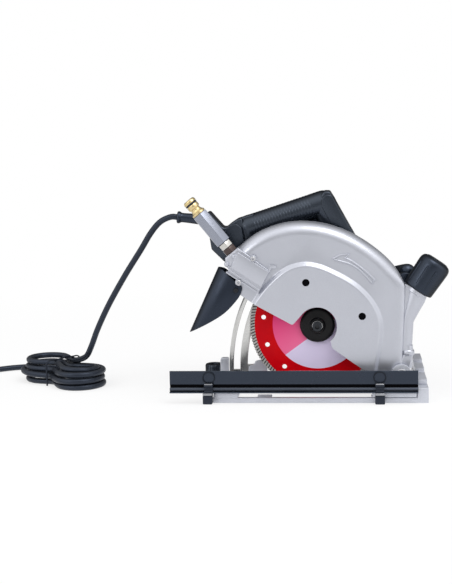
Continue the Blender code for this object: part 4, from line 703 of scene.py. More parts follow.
def mouth_edge():
    """Lower edge that bares the blade, from the raised face's front end back to its rear end."""
    nose = rounded(((-86.0, 129.2, 0.0), (-32.2, 99.4, 3.0), (-18.8, 114.6, 0.0)), 4)
    lip = arc(ARBOR, 25.8, 137.0, -48.0, 24)
    return ([(57.0, 41.5), (35.0, 57.0), (19.5, 68.5)] + lip[::-1] + nose[::-1])[:-1]


def turning_arrow():
    """Raised outline of the arrow that shows which way the blade turns."""
    head = [(20.9, 186.0), (29.6, 190.2), (42.6, 192.3)]
    back = smooth_outline(((37.1, 186.9), (46.8, 181.8), (56.4, 174.7), (66.1, 166.7), (75.0, 157.5)), 3.0)
    belly = smooth_outline(((72.4, 153.1), (62.8, 164.1), (53.2, 173.0), (42.5, 179.2), (31.7, 182.4)), 3.0)
    outline = head + back + belly + head[:2]
    return swept([side_view(p, GUARD_NEAR - 0.1) for p in outline], [1.5] * len(outline), 5)


def guard_skin(rise):
    """Crown, face and raised face as one open skin, with the slope's edges rounded."""
    edge, end_fall = plateau_edge(), 2.8
    bm, inner = guard_crown()
    foot = [bm.verts.new(side_view(p, GUARD_NEAR)) for p in edge]
    ends = [bm.verts.new(side_view(p, GUARD_NEAR)) for p in ((-100.0, 139.0), (86.0, 24.0))]
    bm.faces.new(inner + [ends[0]] + foot + [ends[1]])
    inward = [Vector((SLOPE_WIDE, -end_fall))]
    for before, after in zip(edge, edge[2:]):
        ahead = Vector(after) - Vector(before)
        inward.append(Vector((ahead.y, -ahead.x)).normalized() * SLOPE_WIDE)
    inward.append(Vector((-SLOPE_WIDE, end_fall)))
    top = [bm.verts.new((x + step.x, rise, z + step.y)) for (x, z), step in zip(edge, inward)]
    for i in range(len(edge) - 1):
        bm.faces.new((foot[i + 1], foot[i], top[i], top[i + 1]))
    bm.faces.new(top + [bm.verts.new(side_view(p, rise)) for p in mouth_edge()])
    outward(bm)
    if sum(f.normal.y * f.calc_area() for f in bm.faces) > 0:
        bmesh.ops.reverse_faces(bm, faces=bm.faces)
    raised = [e for e in bm.edges if all(abs(v.co.y - rise) < 0.01 for v in e.verts)]
    bevel(bm, [e for e in raised if len(e.link_faces) == 2], 1.6, 4)
    bevel(bm, [e for e in bm.edges if all(v in foot for v in e.verts)], 1.0, 3)
    return bm


def make_guard():
    """Cast guard: its skin made as thick as the wall, two lined holes with discs of painted shade inside, the
    pivot's boss and the arrow.
    """
    rise, hole_r, hole_near = GUARD_NEAR - PLATEAU_RISE, 4.9, -18.4
    holes = ((-14.2, 155.4), (58.6, 110.5))
    bm = guard_skin(rise)
    level = [f for f in bm.faces if abs(f.calc_center_median().y - rise) < 0.01]
    bmesh.ops.inset_region(bm, faces=[max(level, key=lambda f: f.calc_area())], thickness=0.6,
                           use_even_offset=True)
    bmesh.ops.solidify(bm, geom=bm.faces[:], thickness=GUARD_WALL)
    bm = carved(outward(bm), *[rod(hole_r, -40, 0, at) for at in holes])
    lining = [(hole_r, hole_near), (7.4, hole_near), (7.4, -4.0), (hole_r, -4.0)]
    boss = [(5.4, -17.2), (11.0, -17.2), (12.0, -16.2), (12.0, 15.8), (5.4, 15.8)]
    with_shape(bm, *[turned(lining, side_view(at), steps=32) for at in holes])
    # Dark discs set just inside the two holes paint the shade of the guard's hollow behind them
    shade_discs = [rod(hole_r - 0.1, hole_near, -16.6, at) for at in holes]
    settle("guard_hole_painted_shade", with_shape(*shade_discs), PAINTED_SHADE_BLACK, "head", "guard_shell")
    with_shape(bm, turning_arrow(), turned(boss, side_view(PIVOT)))
    return settle("guard_casting", bm, CAST, "head", "guard_shell", sharp=30.0)


# Blade


def make_blade():
    """Lacquered disc with twelve holes, and a rim of slanted teeth on a dark core."""
    centre, core_r = side_view(ARBOR), BLADE_R - RIM_DEPTH
    bore_r, holes, hole_ring_r, hole_r = 8.3, 12, 72.0, 3.1
    teeth, tooth_half, tooth_lean = 138, 1.25, 0.30

    def ring(low_r, high_r, half):
        return turned([(low_r, -half), (high_r, -half), (high_r, half), (low_r, half)], centre, steps=144)

    spots = [polar(ARBOR, hole_ring_r, 22.0 + 360.0 / holes * i) for i in range(holes)]
    disc = carved(ring(bore_r, core_r, 0.95), *[rod(hole_r, -5, 5, at, 24) for at in spots])
    settle("blade_disc", disc, BLADE_FACE, "blade_body", "blade")
    settle("rim_core", ring(core_r - 0.6, BLADE_R - 1.0, 0.8), RIM_DARK, "blade_body", "blade")
    thick = about(0.0, tooth_half)
    tooth = block((core_r - 0.4, BLADE_R), thick, thick)
    slant = Matrix.Identity(4)
    slant[2][0] = tooth_lean
    tooth.transform(Matrix.Translation((core_r, 0, 0)) @ slant @ Matrix.Translation((-core_r, 0, 0)))
    softened(tooth, 0.3, 1)
    bmesh.ops.spin(tooth, geom=all_of(tooth), cent=ORIGIN, axis=BACK, dvec=ORIGIN, steps=teeth - 1,
                   angle=2 * math.pi * (teeth - 1) / teeth, use_duplicate=True)
    bmesh.ops.translate(tooth, verts=tooth.verts, vec=centre)
    settle("rim_segments", tooth, RIM_GRIT, "blade_body", "blade")


def make_flange():
    """Outer flange with its raised hub, and the socket bolt in it."""
    centre, out = side_view(ARBOR), (0, -1, 0)
    flange = [(6.0, 1.5), (22.2, 1.5), (23.0, 2.3), (23.0, 5.6), (22.6, 6.6), (21.6, 7.6), (20.2, 8.3),
              (18.6, 8.5), (12.4, 8.5), (10.8, 8.9), (10.0, 9.8), (9.6, 11.0), (9.4, 13.9), (8.8, 14.5),
              (6.9, 14.5), (6.6, 14.2), (6.6, 11.0), (6.0, 11.0)]
    settle("outer_flange_black", turned(flange, centre, out, 96), FLANGE_BLACK, "blade_body", "outer_flange")
    bolt = turned([(0, 11.0), (5.9, 11.0), (6.4, 14.4), (6.4, 20.9), (6.2, 21.4), (5.7, 21.7), (0, 21.7)],
                  centre, out, 64)
    socket = plate([polar(ARBOR, 3.46, 60 * i + 30) for i in range(6)], -30, -17.0)
    bolt = softened(carved(bolt, socket), 0.25, 2, 50.0)
    settle("bolt_head", bolt, BOLT_BLACK, "blade_body", "arbor_bolt")


# Water feed


FEED_FROM = Vector((-111.9, -8.0, 195.7))
FEED_ALONG = sloped(129.1)
HEX_TURN = 42.0
WATER_SCREWS = ((-82.4, 187.6), (-101.9, 156.8))


def hex_bar(radius, low, high, chamfer):
    """Hexagonal bar up the feed's slope, with its corners turned off at both ends."""
    bm = bmesh.new()
    bmesh.ops.create_cone(bm, cap_ends=True, segments=6, radius1=radius, radius2=radius, depth=high - low)
    bmesh.ops.translate(bm, verts=bm.verts, vec=(0, 0, (high + low) / 2))
    bmesh.ops.rotate(bm, verts=bm.verts, cent=ORIGIN, matrix=Matrix.Rotation(math.radians(HEX_TURN), 3, "Z"))
    ends = [e for e in bm.edges if abs(e.verts[0].co.z - e.verts[1].co.z) < 1e-3]
    bevel(bm, [e for e in bm.edges if e not in ends], 0.5, 3)
    bevel(bm, hard_edges(bm, 60.0), chamfer, 3)
    bm.transform(stood(FEED_FROM, FEED_ALONG))
    return bm


def up_turned(profile):
    return turned(profile, FEED_FROM, FEED_ALONG, 48)


def make_feed():
    """Nuts, hex adapter, brass hose nipple and its seal, one above the other."""
    settle("lock_nut_brown", hex_bar(9.3, -1.0, 7.2, 0.6), BROWN_STEEL, "head", "lock_nut")
    settle("steel_nut_bright", hex_bar(9.1, 7.5, 15.7, 0.8), BRIGHT_STEEL, "head", "steel_nut")
    settle("hex_body", hex_bar(11.0, 16.0, 64.7, 0.8), FEED_ALLOY, "head", "hex_extension")
    foot = 65.0
    nipple = [(4.5, 0), (8.9, 0), (9.3, 0.4), (9.3, 2.8), (8.9, 3.3), (8.3, 3.6), (7.4, 5.2), (6.7, 6.4),
              (6.5, 7.2), (6.5, 8.4), (6.8, 9.2), (7.8, 9.9), (8.1, 10.4), (8.1, 14.6), (7.6, 15.4),
              (7.0, 15.6), (7.0, 17.9), (8.3, 18.0), (8.6, 18.4), (8.6, 20.6), (8.1, 21.8), (7.2, 22.6),
              (6.4, 23.0), (4.9, 23.0), (4.5, 22.6)]
    settle("brass_nipple", up_turned([(r, s + foot) for r, s in nipple]), BRASS, "head", "hose_nipple")
    ring = [polar((7.5, foot + 16.8), 1.1, 30 * i) for i in range(12)]
    settle("nipple_seal", up_turned(ring), RUBBER, "head", "nipple_o_ring")


def make_water_block():
    """Casting that carries the feed: body, lid with its ledges, and a boss under the nuts."""
    body = soft_plate(((-114.5, 170.4, 3.0), (-72.5, 149.0, 2.5), (-61.0, 171.2, 2.5), (-102.2, 202.2, 2.0),
                       (-119.6, 188.4, 2.5)), -20.2, 3.0, 1.2, 4)
    lid = soft_plate(((-111.6, 176.9, 1.2), (-72.2, 150.4, 1.2), (-62.2, 170.6, 1.2), (-102.3, 197.0, 1.2)),
                     -25.2, -18.0, 0.6, 3, 3)
    boss = soft_plate(((-120.4, 179.6, 1.5), (-109.6, 178.2, 1.5), (-96.4, 196.8, 1.5), (-101.8, 200.8, 1.5),
                       (-117.6, 188.6, 1.5)), -22.8, -17.0, 0.9, 3, 3)
    step = soft_plate(((-61.4, 169.4, 0.6), (-58.6, 175.2, 0.6), (-53.2, 174.2, 0.6), (-52.2, 178.0, 0.6),
                       (-61.0, 179.4, 0.6), (-64.0, 172.6, 0.6)), -20.0, -14.0, 0.6, 2, 2)
    bump = [(0, -17.0), (3.4, -17.0), (3.4, -23.6), (2.6, -25.0), (1.2, -25.6), (0, -25.7)]
    bumps = [turned(bump, side_view(at), steps=40) for at in ((-106.4, 190.8), (-117.0, 181.0))]
    ledges = []
    ledge_half = 1.15
    for low, high, near in (((-115.0, 174.0), (-74.4, 146.6), -24.4),
                            ((-118.0, 170.6), (-78.6, 144.2), -22.6)):
        low, high = Vector(low), Vector(high)
        along = high - low
        aside = Vector((-along.y, along.x)).normalized() * ledge_half
        corners = [tuple(c) for c in (low - aside, high - aside, high + aside, low + aside)]
        ledges.append(softened(plate(corners, near, -15.0), 0.6, 3, 40.0))
    for corners, near in ((((-115.0, 174.0), (-74.4, 146.6), (-71.6, 151.0), (-112.2, 178.4)), -22.9),
                          (((-117.4, 168.8), (-76.8, 141.6), (-74.0, 146.4), (-114.6, 173.8)), -20.9)):
        ledges.append(plate(corners, near, -14.0))
    seat = [(0, -14.5), (4.5, -14.5), (4.5, -22.2), (3.9, -22.8), (0, -22.8)]
    seats = [turned(seat, side_view(at), steps=40) for at in WATER_SCREWS]
    with_shape(body, lid, boss, step, *bumps, *ledges, *seats)
    settle("water_block_casting", body, CAST, "head", "water_block")
    head = [(0, -19.0), (3.3, -19.0), (3.3, -24.8), (2.7, -25.4), (0, -25.4)]
    for end, at in zip(("upper", "lower"), WATER_SCREWS):
        socket = plate([polar(at, 1.7, 60 * i) for i in range(6)], -30, -20.2)
        screw = carved(turned(head, side_view(at), steps=40), socket)
        settle("lid_screw_" + end, screw, STEEL, "head", "water_screw_" + end)


# Splash chute


def chute_body(outline, half, low, side, deep):
    """Chute's solid, bulged like half a pipe: its side drawn in towards the straight back."""
    middle = 1.55
    inward = Vector((side.y, -side.x))
    bm = plate(outline, *about(middle, half))
    for share in (0.02, 0.06, 0.12, 0.2, 0.3, 0.42, 0.56, 0.72, 0.88, 1.0):
        at = low + inward * deep * share
        bmesh.ops.bisect_plane(bm, geom=all_of(bm), plane_co=side_view(at), plane_no=side_view(inward))
    for vert in bm.verts:
        inset = (vert.co.xz - low).dot(inward)
        left = 1.0 - min(max(inset / deep, 0.0), 1.0)
        vert.co.y = middle + math.copysign(half * math.sqrt(1.0 - left**2), vert.co.y - middle)
    bmesh.ops.dissolve_degenerate(merged(bm, 1e-2), dist=1e-2, edges=bm.edges)
    return outward(bm)


def make_chute():
    """Rubber chute, hollow towards the blade, and the cross-slotted screw that holds it."""
    top, tip = Vector((-130.6, 174.8)), Vector((-171.0, 87.5))
    side = (top - tip).normalized()
    inward = Vector((side.y, -side.x))
    wall, half, deep, beyond, across = 2.6, 20.4, 29.0, 30.0, 120.0
    lower = smooth_outline((tip, (-140.6, 103.5), (-119.9, 117.0), (-102.5, 136.0), (-98.2, 146.0)), 4.0)
    outline = lower + arc((-103.0, 148.2), 5.2, -25.0, 70.0, 6) + [(-123.5, 172.0), tuple(top)]
    body = chute_body(outline, half, tip, side, deep)
    low, high = tip + inward * wall - side * beyond, top + inward * wall + side * beyond
    room = [tuple(p) for p in (low, low + inward * across, high + inward * across, high)]
    inner = chute_body(room, half - wall, low, side, deep - wall)
    bm = softened(carved(body, inner), 0.7, 2, 50.0)
    settle("chute_rubber", bm, CHUTE_RUBBER, "head", "splash_chute")
    screw_at, slot_half, slot_side = Vector((-106.0, 146.0)), 2.2, 0.4
    screw = turned([(0, -17.0), (3.4, -17.0), (3.4, -20.4), (2.9, -21.2), (1.2, -21.4), (0, -21.4)],
                   side_view(screw_at), steps=40)
    for turn, floor in ((45.0, -20.2), (135.0, -20.3)):
        along = Vector(polar((0, 0), slot_half, turn))
        aside = Vector(polar((0, 0), slot_side, turn + 90.0))
        corners = [tuple(screw_at + s * along + t * aside) for s, t in ((-1, -1), (1, -1), (1, 1), (-1, 1))]
        screw = carved(screw, plate(corners, -25.0, floor))
    settle("chute_screw_black", screw, BOLT_BLACK, "head", "chute_screw")


# Handle


HANDLE_MID = 48.0
HANDLE_JOINT = HANDLE_MID - 0.15
GRIP_R = 18.0


def grip_bar():
    """Round grip that slopes up to the tower, with fine rings cut round its middle."""
    start, step, count = -92.0, 0.65, 155
    mid_x, mid_z, slope = -64.46, 230.24, 0.317
    ring_from, rings, pitch, deep = -84.0, 20, 3.9, 0.3
    points, radii = [], []
    for i in range(count):
        x = start + step * i
        turn = math.cos(2 * math.pi * (x - ring_from) / pitch)
        ringed = ring_from < x < ring_from + rings * pitch
        points.append(Vector((x, HANDLE_MID, mid_z + slope * (x - mid_x))))
        radii.append(GRIP_R - (deep * (0.5 - 0.5 * turn) ** 2 if ringed else 0.0))
    return swept(points, radii, 18), points[0], points[-1]


def grip_turn(at, down_to, low_r):
    """Grip's rounded turn down into the cord end or the tower."""
    along = down_to - at
    dome = [(0.0, -GRIP_R)] + arc((0.0, 0.0), GRIP_R, -90.0, 0.0, 12)[1:]
    return turned(dome + [(low_r, along.length), (0, along.length)], at, along, 48)


def near_half(bm):
    """Half of a shape on the near side of the handle's joint."""
    bmesh.ops.bisect_plane(bm, geom=all_of(bm), plane_co=(0, HANDLE_JOINT, 0), plane_no=BACK,
                           clear_outer=True)
    bmesh.ops.holes_fill(bm, edges=[e for e in bm.edges if e.is_boundary])
    return outward(bm)


def shell_plate(corners, face, turn_r, steps=5):
    """Part of the handle's shell from a face back to the joint, with the face's edges rounded over."""
    bm = plate(rounded(corners), face, HANDLE_JOINT)
    return softened(bm, turn_r, steps, 40.0, lambda co: abs(co.y - face) < 0.01)


def handle_half(*holes):
    """Near shell: cord end with its raised pad, round grip with holes in it, front tower and lower bar."""
    rear = shell_plate(((-125.5, 177.5, 6.0), (-97.0, 172.0, 0.0), (-96.5, 214.0, 6.0), (-100.0, 237.4, 3.0),
                        (-107.4, 235.0, 12.0), (-116.4, 229.1, 12.0), (-124.7, 222.4, 5.0),
                        (-146.4, 247.2, 3.0), (-149.4, 242.0, 3.0), (-142.7, 194.7, 6.0)), 33.0, 3.5)
    saddle = shell_plate(((-118.0, 176.5, 0.0), (-88.0, 172.5, 0.0), (-84.0, 242.4, 0.0),
                          (-97.2, 238.6, 10.0), (-107.4, 235.0, 12.0), (-117.0, 228.6, 3.0)), 38.0, 5.0)
    pad = shell_plate(((-142.4, 195.6, 6.0), (-124.0, 178.6, 8.0), (-100.0, 176.4, 4.0), (-98.0, 206.0, 8.0),
                       (-101.0, 224.6, 9.0), (-107.4, 229.4, 6.0), (-116.0, 228.0, 9.0),
                       (-137.0, 205.0, 8.0)), 29.6, 1.4, 3)
    tower = shell_plate(((13.0, 231.0, 4.0), (6.0, 252.0, 6.0), (5.0, 265.0, 6.0), (10.0, 271.0, 5.0),
                         (18.0, 270.8, 4.0), (22.2, 263.4, 4.0), (57.0, 200.0, 12.0), (47.0, 171.0, 6.0),
                         (18.0, 171.0, 0.0), (29.0, 199.0, 5.0)), 32.0, 4.0)
    panel = shell_plate(((17.0, 230.0, 0.0), (7.0, 250.0, 6.0), (6.2, 260.0, 5.0), (13.0, 267.2, 5.0),
                         (20.6, 264.8, 3.0), (54.5, 200.0, 10.0), (47.0, 176.0, 4.0), (24.0, 176.0, 0.0),
                         (31.0, 199.0, 5.0)), 29.4, 1.2, 3)
    low_bar = shell_plate(((-98.0, 171.8, 4.0), (32.0, 171.0, 0.0), (30.0, 190.0, 0.0), (14.0, 187.0, 0.0),
                           (-30.0, 189.0, 20.0), (-98.0, 198.5, 4.0)), 32.0, 4.0)
    room = plate(((-44.0, 206.0), (9.0, 222.0), (9.0, 256.0), (-44.0, 240.0)), 39.0, 57.0)
    grip, rear_at, front_at = grip_bar()
    grip = near_half(grip)
    for cutter in (room, *holes):
        grip = carved(grip, cutter)
    turns = [near_half(grip_turn(rear_at, Vector((-91.5, HANDLE_MID, 190.0)), 12.0)),
             near_half(grip_turn(front_at, Vector((27.0, HANDLE_MID, 213.0)), GRIP_R))]
    return with_shape(rear, saddle, pad, tower, panel, low_bar, grip, *turns)


def make_handle():
    """Two shells that mirror each other, the far one with the lock button's hole."""
    settle("handle_shell_near", handle_half(), PLASTIC, "head", "handle_near")
    far = handle_half(rod(5.4, 16.0, 46.0, (-24.0, 232.0)))
    far.transform(Matrix.Translation((0, 2 * HANDLE_MID, 0)) @ Matrix.Scale(-1.0, 4, BACK))
    bmesh.ops.reverse_faces(far, faces=far.faces)
    settle("handle_shell_far", far, PLASTIC, "head", "handle_far")


def make_boot():
    """Cord's strain relief: a smooth sleeve with a flared lip, running into the handle."""
    profile = [(4.3, 0.0), (6.6, 0.0), (7.6, 0.4), (8.2, 1.2), (8.3, 2.6), (7.9, 4.0), (7.0, 5.2), (6.5, 6.8),
               (6.4, 9.0), (6.6, 16.0), (7.0, 24.0), (7.4, 32.0), (7.6, 47.0), (4.3, 47.0)]
    sleeve = turned(profile, (-190.0, HANDLE_MID, 238.0), sloped(-6.0), 48)
    settle("boot_sleeve", sleeve, RUBBER, "head", "cord_boot")


# Front arm, knob and side handle


KNOB_FROM = Vector((131.1, 0.0, 142.1))
KNOB_ALONG = sloped(55.8)


def make_front_arm():
    """Cast arm that flows out of the guard's front up to the knob, on a slim column with a collar."""
    web = plate(rounded(((102.0, 62.0, 0.0), (118.0, 62.0, 0.0), (118.0, 112.0, 0.0), (124.0, 132.0, 0.0),
                         (122.0, 148.0, 0.0), (116.8, 150.5, 1.0), (106.0, 150.5, 0.0), (102.0, 118.0, 0.0)),
                        6), -10.6, 12.0)
    softened(web, 3.0, 5, 40.0, lambda co: co.x > 113.0 and co.z > 120.0)
    bends = ((KNOB_FROM.x, KNOB_FROM.z, 14.4), (127.5, 130.0, 13.6), (122.5, 116.8, 11.0),
             (118.4, 106.0, 9.4), (116.9, 101.5, 9.0), (115.9, 85.0, 9.0), (114.8, 63.0, 8.8))
    nearer, fall = 3.5, 36.0
    route = [Vector((x, -nearer * min((KNOB_FROM.z - z) / fall, 1.0), z)) for x, z, size in bends]
    arm = swept(route, [size for x, z, size in bends], 14)
    collar = turned([(0, 40.0), (5.6, 40.0), (5.8, 52.0), (5.8, 56.0), (6.6, 56.4), (7.6, 56.9), (8.2, 58.0),
                     (8.2, 61.8), (7.6, 63.2), (6.6, 64.0), (6.0, 70.0), (0, 70.0)], (118.6, -6.6, 0), UP, 56)
    leg = soft_plate(((112.0, 58.6, 0.0), (125.0, 58.0, 0.0), (122.9, 47.6, 8.0), (119.0, 33.0, 2.0),
                      (103.0, 31.0, 0.0), (102.0, 43.0, 2.0), (108.4, 48.0, 6.0)), -13.0, 10.0, 4.0, 5, 6)
    leg = carved(leg, rod(5.4, -40.0, 40.0, PIVOT, 48))
    toe = softened(rod(7.8, -21.0, -14.0, (103.0, 37.0), 48), 1.6, 4, 60.0)
    toe = carved(toe, rod(8.3, -40.0, 20.0, PIVOT, 48))
    stud = bar(5.0, -8.0, 24.0, KNOB_FROM, KNOB_ALONG)
    seat = turned([(0, -6.0), (14.6, -6.0), (15.2, -5.4), (15.2, -0.8), (14.6, -0.2), (0, -0.2)], KNOB_FROM,
                  KNOB_ALONG, 64)
    with_shape(arm, web, collar, leg, toe, stud, seat)
    settle("arm_casting", arm, CAST, "head", "front_arm", sharp=30.0)


def make_knob():
    """Front hand knob: a barrel with grip flutes and a flat, turned end."""
    flutes, flute_ring_r, flute_turn = 10, 22.0, 12.0
    profile = [(0, 0.0), (18.2, 0.0), (19.4, 0.4), (20.1, 1.3), (20.4, 2.6), (20.8, 12.0), (21.3, 30.0),
               (21.4, 36.0), (21.1, 39.4), (20.2, 42.2), (18.6, 44.3), (16.6, 45.4), (15.4, 45.7),
               (15.0, 46.2), (13.0, 46.8), (6.0, 47.0), (0, 47.0)]
    flute = [(0, 6.0), (0.9, 6.3), (1.5, 7.2), (1.7, 8.4), (1.7, 33.0), (1.5, 34.4), (0.9, 35.4), (0, 35.8)]
    spots = [polar((0, 0), flute_ring_r, 360.0 / flutes * i + flute_turn) for i in range(flutes)]
    knob = carved(turned(profile, ORIGIN, UP, 96), *[turned(flute, (x, y, 0), UP, 12) for x, y in spots])
    knob.transform(stood(KNOB_FROM, KNOB_ALONG))
    settle("front_knob_barrel", knob, KNOB_PLASTIC, "head", "front_knob")


def make_side_handle():
    """Bar handle behind the arm: a bent grip with a round end, its flange and a shoulder."""
    root, end_run, end_least, grip_r, swell = (42.3, 84.0, 127.0), 9.0, 0.04, 11.0, 0.5
    route = smooth_route((root, (58.0, 84.0, 128.0), (76.0, 80.0, 141.0), (92.0, 71.0, 150.0),
                          (106.0, 56.0, 155.6), (118.0, 40.0, 160.4), (121.0, 25.4, 162.0)), 2.0)
    gone = [0.0]
    for a, b in zip(route, route[1:]):
        gone.append(gone[-1] + (b - a).length)
    radii = []
    for s in gone:
        near_end = max(0.0, 1.0 - (gone[-1] - s) / end_run)
        full_r = grip_r + swell * math.sin(math.pi * s / gone[-1])
        radii.append(full_r * math.sqrt(max(end_least, 1.0 - near_end**2)))
    flange = turned([(0, 0.0), (13.6, 0.0), (14.0, 0.6), (14.0, 3.4), (13.2, 4.2), (0, 4.2)], root,
                    (1, 0, 0), 56)
    shoulder = turned([(0, 12.5), (7.6, 12.5), (8.6, 13.4), (9.0, 15.0), (9.0, 34.0), (0, 34.0)],
                      (116.0, 0, 154.6), steps=40)
    bm = with_shape(swept(route, radii, 12), flange, shoulder)
    settle("side_handle_grip", bm, RUBBER, "head", "front_side_handle")


# Rail and clips


RAIL_FACE = -46.2
RAIL_ENDS = (-193.0, 129.3)


def rail_run(section):
    """Shape with this section, (depth, height), along the rail."""
    bm = plate(section, *RAIL_ENDS)
    bm.transform(Matrix((BACK, (1, 0, 0), UP)).to_4x4())
    return outward(bm)


def make_rail():
    """Splash rail: flat web over a dark groove of painted shade, a round bead with a painted highlight and a
    small foot.
    """
    back, floor = -44.0, RAIL_FACE + 1.8
    web = [(back, 15.0), (back, 43.2), (back - 0.3, 43.5), (RAIL_FACE + 0.3, 43.5), (RAIL_FACE, 43.2),
           (RAIL_FACE, 26.0), (RAIL_FACE + 0.4, 25.6), (floor, 25.5), (floor, 17.2), (RAIL_FACE - 1.4, 16.8),
           (RAIL_FACE - 4.6, 16.7), (RAIL_FACE - 5.0, 16.3), (RAIL_FACE - 5.0, 15.3), (RAIL_FACE - 4.7, 15.0)]
    settle("rail_strip", rail_run(web), RAIL_BLACK, "base", "splash_rail", sharp=28.0)
    # A thin strip of near-black finish in the groove paints its shade
    gap = [(floor + 0.1, 25.3), (floor - 0.3, 25.3), (floor - 0.3, 21.8), (floor + 0.1, 21.8)]
    settle("rail_groove_painted_shade", rail_run(gap), PAINTED_SHADE_BLACK, "base", "splash_rail")
    # The bead's lighter finish paints its highlight
    bead = [polar((RAIL_FACE - 0.6, 19.6), 2.3, 15.0 * i) for i in range(24)]
    settle("rail_bead_strip", rail_run(bead), BEAD_PAINTED_HIGHLIGHT, "base", "splash_rail")


def make_clips():
    """Two clips that hold the rail: a foot with a ridged neck and hook, a steel strap that also paints
    highlights on the hook's top and above the foot, and a wire bail.
    """
    bail_r, bail_wire, bail_from, bail_turn, bail_steps = 7.6, 0.75, -62.0, 304.0, 36
    for name, middle, aside, solid in (("clip_rear", -141.6, -1.6, "rail_clip_rear"),
                                       ("clip_front", 80.2, 0.2, "rail_clip_front")):
        low = middle + aside
        foot = [soft_block(about(low, 6.3), (-53.0, -42.3), (0.4, 12.0), 1.4, 4),
                soft_block(about(middle, 5.4), (-51.8, -48.6), (10.0, 25.0), 0.6),
                soft_block(about(middle, 5.9), (-53.2, -46.3), (23.6, 27.6), 0.9, 4)]
        foot += [soft_block(about(middle, 5.6), (-52.8, -49.0), (z, z + 1.8), 0.5) for z in (17.2, 20.4)]
        settle(name + "_foot", with_shape(*foot), DARK_PLASTIC, "base", solid)
        # The steel lip and band are a strap that also paints the highlights on the hook's top edge and on the
        # top of the foot
        lip = soft_block(about(middle, 5.3), (-53.5, -48.0), (26.4, 28.0), 0.6)
        band = soft_block(about(low, 6.1), (-53.6, -47.0), (12.2, 15.4), 0.8, 4)
        settle(name + "_strap_and_painted_highlight", with_shape(lip, band), STRAP_STEEL_AND_HIGHLIGHT, "base", solid)
        hoop = arc((middle, 34.6), bail_r, bail_from, bail_from + bail_turn, bail_steps)
        bail = swept([side_view(p, -48.0) for p in hoop], [bail_wire] * len(hoop), 3)
        settle(name + "_bail", bail, BLACK_STEEL, "base", solid)


# Base


def make_base():
    """Base with its cheeks, pivot bracket, depth quadrant with two lugs, and pivot bolt."""
    cheek = soft_block((-136.5, -104.2), (-41.8, -38.0), (6.0, 14.4), 0.6, 2)
    ahead = soft_block((70.4, 127.4), (-42.0, -39.0), (7.6, 14.8), 0.6, 2)
    base = with_shape(from_solid("base_plate", 0.7, 3), cheek, ahead)
    settle("base_casting", base, BASE_CAST, "base", "base_plate")
    settle("bracket_casting", from_solid("pivot_bracket", 0.9, 3), BASE_CAST, "base", "pivot_bracket")
    settle("quadrant_arm", from_solid("depth_quadrant", 0.4), ARC_STEEL, "base", "depth_quadrant")
    lug_near, lug_far = 22.6, 30.0
    rear_lug = soft_plate(((-132.8, 14.6, 0.0), (-132.8, 47.6, 3.5), (-121.4, 47.6, 2.0),
                           (-121.4, 14.6, 0.0)), lug_near, lug_far, 0.9)
    front_lug = soft_plate(((-94.6, 14.6, 0.0), (-94.6, 36.4, 1.0), (-86.6, 38.6, 1.0), (-85.4, 42.0, 2.0),
                            (-79.0, 43.8, 3.0), (-69.0, 43.8, 2.0), (-69.0, 14.6, 0.0)),
                           lug_near, lug_far, 0.9, 3, 4)
    settle("quadrant_lugs", with_shape(rear_lug, front_lug), BASE_CAST, "base", "depth_quadrant")
    pin = [(0, -27.4), (6.6, -27.4), (7.6, -26.9), (8.0, -26.0), (8.0, -24.0), (5.0, -24.0), (5.0, 29.9),
           (4.4, 30.5), (0, 30.5)]
    settle("pivot_bolt", turned(pin, side_view(PIVOT), steps=48), STEEL, "base", "pivot_pin")


def lobed_knob(profile, lobes, cut_r, cut_at, turn):
    """Knob turned about z with scallops cut into its side."""
    low, high = profile[0][1] - 1.0, profile[-1][1] + 30.0
    spots = [polar((0, 0), cut_at, 360.0 / lobes * i + turn) for i in range(lobes)]
    cuts = [bar(cut_r, low, high, (x, y, 0), UP) for x, y in spots]
    return softened(carved(turned(profile, ORIGIN, UP), *cuts), 0.6, 3, 40.0)


def make_knobs():
    """Rear knob on the base, and the knob that clamps the depth quadrant."""
    lobes, clamp_y, clamp_r, clamp_turn = 6, 26.8, 219.1, 148.0
    rear = lobed_knob([(4.3, 14.3), (11.6, 14.3), (12.5, 14.9), (12.8, 15.8), (12.8, 30.2), (12.2, 31.6),
                       (10.6, 32.3), (7.0, 32.4), (6.8, 31.2), (4.3, 31.2)], lobes, 3.8, 15.2, 0.0)
    rear.transform(Matrix.Translation((-145.0, 61.0, 0.0)))
    settle("rear_knob_lobed", rear, PLASTIC, "rear_knob_body", "rear_knob")
    clamp = lobed_knob([(4.2, 0.0), (9.0, 0.0), (13.2, 3.4), (14.0, 4.6), (14.0, 13.6), (13.3, 15.2),
                        (11.6, 16.0), (6.8, 16.0), (6.5, 15.2), (4.2, 15.2)], lobes, 4.4, 16.4, 30.0)
    clamp_at = side_view(polar(PIVOT, clamp_r, clamp_turn), clamp_y)
    clamp.transform(Matrix.Translation(clamp_at) @ Matrix.Rotation(math.radians(-90), 4, "X"))
    settle("clamp_knob_lobed", clamp, PLASTIC, "clamp_knob_body", "depth_clamp_knob")


# Motor and switch


def make_motor():
    """Motor, gear case, guard's back and switch parts: their solids with broken edges."""
    for name, node, width, segments, finish, body in (
            ("motor_drum", "motor_housing", 0.8, 2, PLASTIC, "head"),
            ("motor_cap", "motor_end_cap", 0.8, 2, PLASTIC, "head"),
            ("gear_housing", "gear_case", 0.8, 2, CAST, "head"),
            ("back_plate", "guard_back", 0.5, 2, CAST, "head"),
            ("trigger_lever", "trigger", 0.8, 3, DARK_PLASTIC, "trigger_body"),
            ("lock_plunger", "lock_button", 0.8, 3, DARK_PLASTIC, "button_body"),
            ("brush_screw_front", "brush_cap_front", 0.6, 2, PLASTIC, "head"),
            ("brush_screw_rear", "brush_cap_rear", 0.6, 2, PLASTIC, "head")):
        settle(name, from_solid(node, width, segments), finish, body, node)


# Stage and camera


